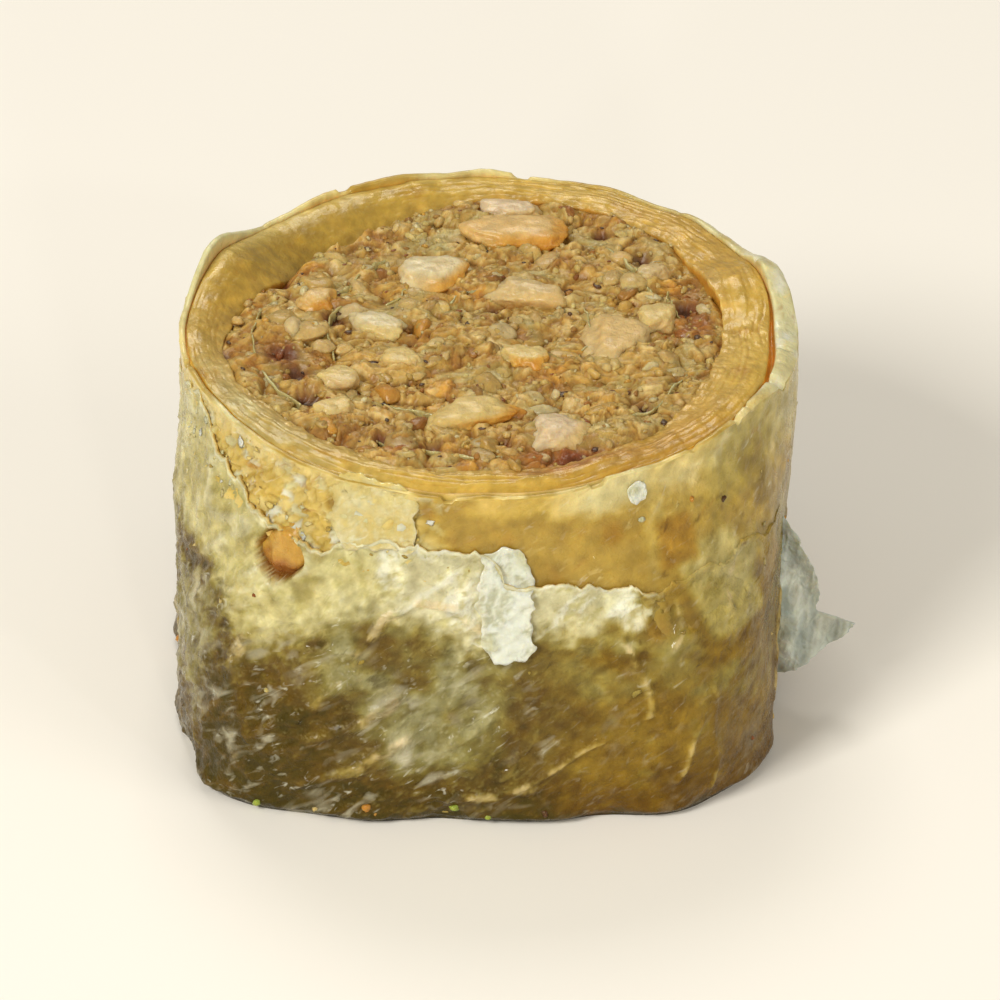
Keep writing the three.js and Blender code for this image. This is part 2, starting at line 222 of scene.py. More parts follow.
def sideRadius(angle, z):
    # a superellipse at each height, squarer to the foot, with lumps and wrinkles
    rise = smooth(z / cut)
    squareness = mixed(roll["footSquareness"], roll["rimSquareness"], rise)
    along, across = np.cos(angle), np.sin(angle)
    reachX = np.where(along > 0, roll["rightReach"] - roll["rightTaper"] * (1 - rise), roll["leftReach"])
    reachY = np.where(across > 0, roll["backReach"], roll["frontReach"] + roll["frontSlump"] * (1 - rise))
    share = np.abs(along / reachX) ** squareness + np.abs(across / reachY) ** squareness
    lump = roll["lump"] * unevenness(along * 1.7 + 4, across * 1.7, z / 11)
    wrinkle = roll["wrinkle"] * unevenness(along * 6, across * 6 + 9, z / 5)
    return share ** (-1 / squareness) + lump + wrinkle * (1 - 0.6 * rise) - roll["clearance"]


def wallAt(angle):      # thickness of all the rolled sheets
    thickness = roll["wall"] + roll["wallUnevenness"] * roundUnevenness(angle, 3, 2)
    for centre, spread, extra in (roll["rightWall"], roll["backLeftWall"]):
        thickness = thickness + extra * hill(angle, centre, spread)
    return thickness


def innerRadius(angle, z):      # the wall's inner face is straight from base to cut
    foot, rim = sideRadius(angle, 0.0), sideRadius(angle, cut)
    return mixed(foot, rim, clamp(z / cut)) + roll["clearance"] - wallAt(angle)


def around(radius, angle, z):      # point at a radius, angle and height
    radius, angle, z = np.broadcast_arrays(radius, angle, z)
    return np.stack([radius * np.cos(angle), radius * np.sin(angle), z], -1)


def girthFrom(angle):      # millimetres along the side from the middle of the front, right positive
    return (np.mod(angle + math.pi / 2 + math.pi, fullTurn) - math.pi) * roll["girth"]


def angleFrom(along):      # the angle of a place that many millimetres from the middle of the front
    return along / roll["girth"] - math.pi / 2


def onGirth(angle):      # the place on a plain round girth, for noise that has no seam
    return roll["girth"] * np.cos(angle), roll["girth"] * np.sin(angle)


def tinted(base, *layers):      # a colour name covered by others, each with its own weight from 0 to 1
    result = np.asarray(colours[base] if isinstance(base, str) else base, float)
    for name, weight in layers:
        result = mixed(result, np.asarray(colours[name], float), clamp(np.asarray(weight))[..., None])
    return result


def gridFaces(rows, cols, closeRows=False, closeCols=False):      # quads of a grid of points
    i, j = np.meshgrid(np.arange(rows - (not closeRows)), np.arange(cols - (not closeCols)), indexing="ij")
    nextI, nextJ = (i + 1) % rows, (j + 1) % cols
    return np.stack([i * cols + j, i * cols + nextJ, nextI * cols + nextJ, nextI * cols + j],
                    -1).reshape(-1, 4)


def slab(front, back, frontTint, backTint, wet):      # two grids of points closed round their borders
    rows, cols = front.shape[:2]
    k = np.arange(rows - 1)
    mirror = 2 * rows - 1
    start = np.stack([k, k + 1, mirror - k - 1, mirror - k], -1) * cols
    faces = np.concatenate([gridFaces(2 * rows, cols, closeRows=True), start, start[:, ::-1] + cols - 1])
    points = np.concatenate([front, back[::-1]]).reshape(-1, 3)
    tints = np.concatenate([frontTint, backTint[::-1]]).reshape(-1, 3)
    wet = np.broadcast_to(wet, (rows, cols))
    return points, faces, tints, np.concatenate([wet, wet[::-1]]).ravel()


def joined(parts):      # several sets of points, faces, tints and wetness as one
    starts = np.cumsum([0] + [len(part[0]) for part in parts[:-1]])
    faces = np.concatenate([part[1] + start for part, start in zip(parts, starts)])
    return np.concatenate([part[0] for part in parts]), [faces], \
        np.concatenate([part[2] for part in parts]), np.concatenate([part[3] for part in parts])


def addPiece(name, points, faces, tints, wet, material, slot, node=None, crumple=0.0):
    # arrays into one mesh, with its colours, wetness and crumples as attributes of its points
    points = np.asarray(points, float).reshape(-1, 3)
    mesh = bpy.data.meshes.new(name)
    counts = np.concatenate([np.full(len(f), f.shape[1]) for f in faces])
    corners = np.concatenate([f.reshape(-1) for f in faces])
    mesh.vertices.add(len(points))
    mesh.vertices.foreach_set("co", (points * mm).astype(np.float32).ravel())
    mesh.loops.add(len(corners))
    mesh.loops.foreach_set("vertex_index", corners.astype(np.int32))
    mesh.polygons.add(len(counts))
    mesh.polygons.foreach_set("loop_start", np.concatenate([[0], np.cumsum(counts)[:-1]]).astype(np.int32))
    mesh.polygons.foreach_set("use_smooth", np.ones(len(counts), bool))
    mesh.update(calc_edges=True)
    rgba = np.ones((len(points), 4), np.float32)
    rgba[:, :3] = painted(np.asarray(tints).reshape(-1, 3))
    mesh.color_attributes.new("tint", "FLOAT_COLOR", "POINT").data.foreach_set("color", rgba.ravel())
    for label, values in (("wet", wet), ("crumple", crumple)):
        values = np.broadcast_to(np.asarray(values, float).reshape(-1), len(points)).astype(np.float32)
        mesh.attributes.new(label, "FLOAT", "POINT").data.foreach_set("value", np.ascontiguousarray(values))
    mesh.materials.append(material)
    piece = bpy.data.objects.new(name, mesh)
    bpy.context.scene.collection.objects.link(piece)
    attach(piece, "root")
    if node:
        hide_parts(node)
    print(f"{name}: {len(points)} points, {len(counts)} faces, {int((counts - 2).sum())} triangles")
    return piece


# Camera, floor and light
studio = {
    "lens": 400,
    "sensor": 36,
    "frameWidth": 68.0,         # at the aim
    "elevation": 33.0,
    "aim": (1.0, -0.6, 11.6),
    "world": ((1.0, 0.95, 0.86), 0.30),
    "floor": (248, 243, 232),
    "floorHalf": 3.0,           # metres
    "sheen": 0.045,             # light that comes off any wet surface here, in linear values
    "gain": 0.86,               # how bright a white matt surface looks
    "lights": (      # place in metres, size, watts, colour
        ((-0.42, -0.40, 0.50), 0.24, 3.7, (1.0, 0.98, 0.94)),
        ((0.50, -0.26, 0.34), 0.30, 0.8, (1.0, 0.97, 0.90)),
        ((-0.06, 0.46, 0.56), 0.26, 1.5, (1.0, 0.98, 0.95)),
        ((0.10, -0.56, 0.20), 0.035, 0.30, (1.0, 1.0, 1.0)),      # small ones for glints on the wet sheets
        ((-0.26, -0.50, 0.13), 0.035, 0.30, (1.0, 1.0, 1.0)),
        ((0.34, -0.42, 0.30), 0.035, 0.20, (1.0, 1.0, 1.0)),
    ),
}

# The outermost sheet, torn off below the rim. Places on it are millimetres along from the middle of the front
outerSheet = {
    "columns": 800,
    "rows": 117,
    "behind": (      # rows of its inner face: how far in, and how far below the torn edge
        (0.08, 0.02), (0.13, 0.5), (0.16, 1.2), (0.4, 2.4), (0.9, 5), (0.9, 9), (1.0, 1000),
    ),
    "edge": (      # along, height of the torn edge
        (-65.3, 19.5), (-56, 21.2), (-48, 18.8), (-40, 20.8), (-33, 22.4), (-27.5, 24.0), (-23.5, 23.7),
        (-20.5, 21.6), (-17, 20.4), (-11, 19.4), (-7, 20.7), (-1, 20.3), (0.6, 19.4), (1.4, 18.3),
        (7, 17.9), (10.2, 17.2), (11.2, 16.4), (19, 16.8), (26, 16.2), (33, 17.4), (36, 19.2), (42, 20.8),
        (50, 18.4), (58, 20.6), (65.3, 19.5),
    ),
    "tears": ((3.1, 0.35), (1.15, 0.4), (0.4, 0.22)),      # length, height
    "paleFoot": (      # along, height down to which the sheet is pale
        (-65.3, 14), (-52, 16), (-40, 13), (-30, 15), (-22, 15.4), (-18, 14.6), (-14.5, 11.4),
        (-12, 12.6), (-9, 15.4), (-6, 15.8), (-3, 13.8), (0, 13.2), (3.2, 13.6), (4, 14.6), (9, 14.0),
        (11, 15), (13, 22.5), (22, 23.5), (34, 16), (44, 13), (54, 15), (65.3, 14),
    ),
    "slant": 34,            # the way the wrinkles rise, in degrees
    "wrinkles": (0.34, 0.18, 0.09),      # height of the coarse, middle and fine ones
    "window": (-14.0, 17.9, 1.75),        # place along, height and radius of the hole over the nut
    "windowDepth": 1.1,
    # from, to and softness of the part whose edge lies under the roll's skin
    "under": (11.2, 34, 1.2),
    "places": {           # from, to and softness along the side
        "crumpled": (-24, 2, 7),
        "crumpledEdge": (-30, -15, 3),
        "plainer": (5, 30, 6),
        "stuckDown": (-34, -16, 3),
        "leftEdge": (-30, -16.5, 3),
        "darkLeft": (-18.2, -8.2, 3),
        "haze": (-10.5, 1.5, 4),
        "whiteMiddle": (-6.5, 9, 3),
        # painted glints in a streak at the tab's right end
        "glintStreak": (8.6, 11.0, 0.8),
        "filmPatch": (9, 15.5, 4),
        # where the creases get painted shade
        "shadedCreases": (9.5, 19, 1),
        "yellowRim": (5, 16.5, 2),
        # painted shadow down the right of the front
        "shadowRight": (19.5, 24.0, 1.6),
    },
    # painted glints: clusters of silvery highlight on the wet sheet
    "glintSpots": (      # along, height, radius, drawn out along and up, strength
        (-4.6, 5.5, 1.5, 1, 1, 1), (-20.6, 12.2, 1.1, 1, 1.6, 1), (-23.0, 9.2, 1.7, 1, 1, 1),
    ),
    "folds": (              # ridge height, width, then its line as along and height in turn
        (0.34, 0.3, -8.4, 12.8, -6.4, 15.2, -4.0, 16.5, -1.2, 16.0, 0.2, 13.4),
        (0.2, 0.16, 0.8, 2.4, 2.6, 3.5, 6.6, 5.9, 9.8, 7.9),
        (0.24, 0.22, 9.8, 7.9, 10.1, 10.9, 8.6, 13.4), (0.34, 0.45, -12.6, 3.6, -9.4, 6.4, -5.6, 9.4),
        (0.3, 0.4, -13.6, 5.6, -10.4, 8.6, -8.0, 10.8), (0.26, 0.4, -10.6, 2.8, -4.4, 6.6),
        (0.3, 0.5, -17.5, 4.0, -15.8, 8.4, -15.0, 12.0), (0.22, 0.18, 10.8, 2.8, 11.6, 4.6, 12.8, 6.8),
        (0.16, 0.3, 13.6, 1.5, 14.0, 9.0), (0.2, 0.45, -2.4, 1.8, 2.6, 2.9),
        (0.2, 0.3, 15.4, 12.0, 17.4, 16.4), (0.18, 0.3, 11.4, 12.0, 13.2, 17.6),
        (0.3, 0.5, 20.0, 4.0, 27.0, 10.0), (0.28, 0.6, 30.0, 12.0, 38.0, 6.0),
        (0.3, 0.6, 44.0, 3.0, 52.0, 8.0), (0.3, 0.6, -24.0, 10.0, -30.0, 3.0),
        (0.28, 0.6, -36.0, 4.0, -44.0, 11.0), (0.3, 0.6, -50.0, 6.0, -57.0, 3.0),
    ),
    "footScallop": 0.45,
}


def foodMaterial(name, look):
    # the tint attribute times a mottle, under strokes of other colours, some of them painted glints and
    # painted crease shade, gloss by the wet attribute, and layered bumps
    material = bpy.data.materials.new(name)
    material.use_nodes = True
    nodes, links = material.node_tree.nodes, material.node_tree.links
    shader = nodes["Principled BSDF"]
    place = nodes.new("ShaderNodeTexCoord").outputs["Object"]

    def attribute(label):
        node = nodes.new("ShaderNodeAttribute")
        node.attribute_name = label
        return node.outputs

    def noise(size, detail, distortion=0.0, kind="FBM", where=place):      # ridged noise makes thin creases
        node = nodes.new("ShaderNodeTexNoise")
        node.noise_type = kind
        node.inputs["Scale"].default_value = 1 / (size * mm)
        node.inputs["Detail"].default_value = detail
        node.inputs["Distortion"].default_value = distortion
        links.new(where, node.inputs["Vector"])
        return node.outputs["Fac"]

    def strokes(size, cutAt, seed):
        # spindle-shaped patches, 0 to 1: the high part of noise drawn out along the slant, in clusters
        turned = nodes.new("ShaderNodeMapping")
        turned.vector_type = "TEXTURE"
        turned.inputs["Rotation"].default_value = (0, -math.radians(outerSheet["slant"]), 0)
        turned.inputs["Scale"].default_value = (2.6, 2.0, 1.0)
        turned.inputs["Location"].default_value = (seed, seed, seed)
        links.new(place, turned.inputs["Vector"])
        spindles = noise(size, 2, 0.8, where=turned.outputs["Vector"])
        clusters = ranged(noise(size * 4, 2), 0.46, 0.62, (0.0, 1))
        return product(ranged(spindles, cutAt, cutAt + 0.15, (0, 0.85)), clusters)

    def covered(under, share, tone):      # a colour laid over another by a share
        mix = nodes.new("ShaderNodeMix")
        mix.data_type = "RGBA"
        links.new(share, mix.inputs["Factor"])
        links.new(under, mix.inputs["A"])
        mix.inputs["B"].default_value = (*painted(colours[tone]), 1)
        return mix.outputs["Result"]

    def ranged(value, low, high, to):
        node = nodes.new("ShaderNodeMapRange")
        for socket, number in zip(("From Min", "From Max", "To Min", "To Max"), (low, high, *to)):
            node.inputs[socket].default_value = number
        links.new(value, node.inputs["Value"])
        return node.outputs["Result"]

    def product(first, second):
        node = nodes.new("ShaderNodeMath")
        node.operation = "MULTIPLY"
        links.new(first, node.inputs[0])
        links.new(second, node.inputs[1])
        return node.outputs["Value"]

    shade = ranged(noise(look["mottleSize"], 4), 0.25, 0.75, look["mottle"])
    mottle = nodes.new("ShaderNodeVectorMath")
    mottle.operation = "SCALE"
    links.new(attribute("tint")["Color"], mottle.inputs[0])
    links.new(shade, mottle.inputs["Scale"])
    base = mottle.outputs["Vector"]
    if "film" in look:
        crumple = attribute("crumple")["Fac"]
        for n, (tone, size, cutAt) in enumerate(look["film"]):
            base = covered(base, product(strokes(size, cutAt, n * 0.013), crumple), tone)
    links.new(base, shader.inputs["Base Color"])
    gloss = ranged(attribute("wet")["Fac"], 0, 1, look["roughness"])
    patches = ranged(noise(look["mottleSize"] * 0.7, 3), 0.3, 0.7, (0.75, 1.35))
    links.new(product(gloss, patches), shader.inputs["Roughness"])

    heights = [(noise(size, detail, 0.6), depth) for size, depth, detail in look["bumps"]]
    if "creases" in look:
        size, depth = look["creases"]
        heights.append((noise(size, 3, 0.8, "RIDGED_MULTIFRACTAL"), depth))
    normal = None
    for height, depth in heights:
        bump = nodes.new("ShaderNodeBump")
        bump.inputs["Strength"].default_value = 1.0
        bump.inputs["Distance"].default_value = depth * mm
        links.new(height, bump.inputs["Height"])
        if normal:
            links.new(normal, bump.inputs["Normal"])
        normal = bump.outputs["Normal"]
    links.new(normal, shader.inputs["Normal"])
    # light that has been through syrup
    shader.inputs["Specular Tint"].default_value = (1.0, 0.85, 0.4, 1.0)
    shader.inputs["Specular IOR Level"].default_value = look["shine"]
    shader.inputs["Coat Weight"].default_value = look["coat"]
    shader.inputs["Coat Roughness"].default_value = look["coatRoughness"]
    shader.inputs["Subsurface Weight"].default_value = look["glow"]
    shader.inputs["Subsurface Radius"].default_value = (1.0, 0.6, 0.25)
    shader.inputs["Subsurface Scale"].default_value = look["glowDepth"] * mm
    return material


# Sizes, bump depths and glow depths in millimetres. Roughness is for dry and wet, bumps are size, depth
# and detail, creases are size and depth, and each film is a colour, a size and how high its noise is cut
looks = {
    "syrupPhyllo": {
        "mottleSize": 0.9, "mottle": (0.82, 1.14), "roughness": (0.5, 0.2),
        "bumps": ((1.1, 0.1, 3), (0.28, 0.045, 2)), "creases": (0.9, 0.05),
        # the white strokes are painted glints
        "film": (("ringDark", 0.8, 0.58), ("leafYellow", 0.7, 0.58), ("leafWhiteAndGlint", 0.5, 0.6)),
        "shine": 0.4, "coat": 0.3, "coatRoughness": 0.18, "glow": 0.25, "glowDepth": 1.4,
    },
    "wetSheet": {
        "mottleSize": 0.7, "mottle": (0.8, 1.16), "roughness": (0.5, 0.12),
        "bumps": ((0.9, 0.16, 3), (0.24, 0.055, 2)), "creases": (0.7, 0.12),
        # dark crease strokes are painted shade, and the silver and white strokes painted glints
        "film": (("oliveDark", 1.3, 0.5), ("crackAndCreaseShade", 0.6, 0.54), ("glintSilver", 1.3, 0.54), ("glintSilver", 0.7, 0.56),
                 ("leafWhiteAndGlint", 0.45, 0.62)),
        "shine": 0.22, "coat": 0.14, "coatRoughness": 0.06, "glow": 0.15, "glowDepth": 1.0,
    },
    "tornLeaf": {
        "mottleSize": 0.7, "mottle": (0.86, 1.1), "roughness": (0.5, 0.16),
        "bumps": ((0.8, 0.12, 3), (0.22, 0.04, 2)), "creases": (0.6, 0.08),
        # the white strokes are painted glints
        "film": (("haze", 0.7, 0.6), ("leafWhiteAndGlint", 0.5, 0.6)),
        "shine": 0.4, "coat": 0.4, "coatRoughness": 0.08, "glow": 0.3, "glowDepth": 0.8,
    },
    "nutMeat": {
        "mottleSize": 0.7, "mottle": (0.78, 1.12), "roughness": (0.5, 0.28),
        "bumps": ((0.5, 0.12, 3), (0.17, 0.05, 2)),
        "shine": 0.4, "coat": 0.3, "coatRoughness": 0.2, "glow": 0.4, "glowDepth": 1.4,
    },
    "walnutPaste": {
        "mottleSize": 0.5, "mottle": (0.72, 1.22), "roughness": (0.6, 0.28),
        "bumps": ((0.5, 0.12, 3), (0.17, 0.05, 2)),
        "shine": 0.4, "coat": 0.22, "coatRoughness": 0.25, "glow": 0.35, "glowDepth": 1.3,
    },
    "dryShard": {
        "mottleSize": 0.9, "mottle": (0.78, 1.14), "roughness": (0.55, 0.25),
        "bumps": ((0.8, 0.14, 3), (0.2, 0.03, 2)), "creases": (0.7, 0.1),
        "shine": 0.5, "coat": 0.3, "coatRoughness": 0.15, "glow": 0.3, "glowDepth": 1.0,
    },
}
materials = {name: foodMaterial(name, look) for name, look in looks.items()}
print("materials ready")


def pointed(thing, place, aim):      # puts a lamp or camera at a place, looking at the aim
    place, aim = Vector(place), Vector(aim)
    thing.location = place
    thing.rotation_euler = (aim - place).to_track_quat("-Z", "Y").to_euler()
    bpy.context.scene.collection.objects.link(thing)


def makeStudio():
    scene = bpy.context.scene
    scene.view_settings.view_transform = "Standard"
    world = bpy.data.worlds.new("studioWorld")
    world.use_nodes = True
    background = world.node_tree.nodes["Background"]
    background.inputs["Color"].default_value = (*studio["world"][0], 1)
    background.inputs["Strength"].default_value = studio["world"][1]
    scene.world = world

    half = studio["floorHalf"]
    floorMesh = bpy.data.meshes.new("floor")
    corners = [(-half, -half, 0), (half, -half, 0), (half, half, 0), (-half, half, 0)]
    floorMesh.from_pydata(corners, [], [(0, 1, 2, 3)])
    paint = bpy.data.materials.new("floorPaint")
    paint.use_nodes = True
    shader = paint.node_tree.nodes["Principled BSDF"]
    shader.inputs["Base Color"].default_value = (*linear(studio["floor"]), 1)
    shader.inputs["Roughness"].default_value = 0.9
    floorMesh.materials.append(paint)
    floor = bpy.data.objects.new("floor", floorMesh)
    scene.collection.objects.link(floor)

    aim = Vector(studio["aim"]) * mm
    for n, (place, side, watts, tone) in enumerate(studio["lights"]):
        lamp = bpy.data.lights.new(f"softLight{n}", "AREA")
        lamp.size, lamp.energy, lamp.color = side, watts, tone
        pointed(bpy.data.objects.new(lamp.name, lamp), place, aim)
    lens = bpy.data.cameras.new("camera")
    lens.lens, lens.sensor_width, lens.clip_start, lens.clip_end = studio["lens"], studio["sensor"], 0.01, 20
    camera = bpy.data.objects.new("camera", lens)
    distance = studio["frameWidth"] * mm * studio["lens"] / studio["sensor"]
    tilt = math.radians(studio["elevation"])
    pointed(camera, aim + distance * Vector((0, -math.cos(tilt), math.sin(tilt))), aim)
    scene.camera = camera
    print("studio ready")


makeStudio()


def placeOn(piece, name, along):      # how far a point along the side is in a named place of a piece, 0 to 1
    return band(along, *piece["places"][name])


def lineAt(knots, angle):      # height of a line drawn round the side by its knots
    knots = np.array(outerSheet[knots])
    return np.interp(girthFrom(angle), knots[:, 0], knots[:, 1])


def tornEdge(angle):      # the drawn line plus steps and noise at three lengths
    x, y = onGirth(angle)
    height = lineAt("edge", angle)
    for n, (length, size) in enumerate(outerSheet["tears"]):
        wave = unevenness(x / length, y / length, 50 + 7 * n)
        height = height + size * mixed(wave, np.round(wave * 2) / 2, 0.5)
    return height


def windowDepth(angle, z):      # 1 inside the ragged hole over the window nut
    holeAlong, holeZ, holeSize = outerSheet["window"]
    x, y = onGirth(angle)
    aside, above = girthFrom(angle) - holeAlong, z - holeZ
    away = np.hypot(aside * 0.95, above) + 0.4 * np.abs(aside) * np.maximum(-above, 0) / holeSize
    away = away + 0.3 * unevenness(x / 0.9, y / 0.9, z / 0.9 + 5)
    return 1 - smooth((away - holeSize) / 0.5 + 0.5)


def wrinkles(angle, z):      # coarse, middle and fine creases drawn out along a wandering slant, each 0 to 1
    x, y = onGirth(angle)
    slant = math.radians(outerSheet["slant"])
    c, s = math.cos(slant), math.sin(slant)
    bend = 1.5 * unevenness(x / 5, y / 5, z / 5 + 40)
    lengthways, across = x * c + z * s + bend, z * c - x * s + bend
    return (creased(lengthways / 3.2, across / 1.5, y / 3.2),
            creased(lengthways / 1.3 + 40, across / 0.7, y / 1.3),
            creased(lengthways / 0.7 + 80, across / 0.42, y / 0.7, 2))


def crumpledness(angle, z):      # how strongly the sheet is wrinkled: most at the lower left of the front
    along = girthFrom(angle)
    x, y = onGirth(angle)
    low = 1 - smooth((z - 12) / 6)
    lowerLeft = placeOn(outerSheet, "crumpled", along) * low
    farSide = smooth((np.abs(along) - 24) / 8) * smooth(0.55 + 0.9 * unevenness(x / 9, y / 9, z / 8)) * low
    leftEdge = placeOn(outerSheet, "crumpledEdge", along) * (1 - smooth((z - 20) / 3))
    plainer = placeOn(outerSheet, "plainer", along)
    return clamp(0.45 + 0.55 * lowerLeft + 0.45 * farSide + 0.5 * leftEdge - 0.12 * plainer)


def foldRidges(angle, z):
    # each fold is a soft ridge along a bent line on the side, broken here and there
    along = girthFrom(angle) + 0.4 * roundUnevenness(angle, 14, 3) + 0.25 * np.sin(z * 1.3)
    ridges = 0.0
    for height, width, *line in outerSheet["folds"]:
        away = 99.0
        for fromS, fromZ, toS, toZ in zip(line[0:-2:2], line[1:-2:2], line[2::2], line[3::2]):
            runS, runZ = toS - fromS, toZ - fromZ
            place = clamp(((along - fromS) * runS + (z - fromZ) * runZ) / (runS ** 2 + runZ ** 2))
            away = np.minimum(away, np.hypot(along - fromS - place * runS, z - fromZ - place * runZ))
        broken = smooth(0.85 + 0.8 * unevenness(along / 1.3, line[0], z / 1.3))
        ridges = ridges + height * np.exp(-(away / width) ** 2) * broken
    return ridges


def sheetRelief(angle, z):      # wrinkles by the local crumpledness, the folds, and scallops at the foot
    much = crumpledness(angle, z)
    relief = foldRidges(angle, z)
    for height, wave in zip(outerSheet["wrinkles"], wrinkles(angle, z)):
        relief = relief + much * height * (wave - 0.35)
    x, y = onGirth(angle)
    return relief + outerSheet["footScallop"] * smooth(1 - z / 2.4) * unevenness(x / 2.4, y / 2.4, 66)


def divesAt(angle):      # 1 at the right, where the sheet's upper margin lies under the roll's own skin
    return band(girthFrom(angle), *outerSheet["under"])


def sheetLift(angle, z):      # the sheet stands off the roll towards its torn edge, more in some places
    x, y = onGirth(angle)
    below = np.maximum(tornEdge(angle) - z, 0)
    loose = 1 - 0.9 * divesAt(angle) - 0.85 * placeOn(outerSheet, "stuckDown", girthFrom(angle))
    peel = (0.05 + 0.3 * smooth(0.3 + 1.1 * unevenness(x / 2.7, y / 2.7, 71))) * loose
    dive = 0.5 * divesAt(angle) * smooth(1 - (below - 1.6) / 1.6)
    return 0.03 + peel * np.exp(-(below / 1.2) ** 1.5) - dive


def skin(angle, z):      # radius of what shows: the sheet below its torn edge, the roll above it
    covered = smooth((tornEdge(angle) - 2.4 * divesAt(angle) - z) / 0.6)
    relief = sheetRelief(angle, z) * smooth(z / 1.2 + 0.3) + sheetLift(angle, z)
    return sideRadius(angle, np.minimum(z, cut)) + covered * relief


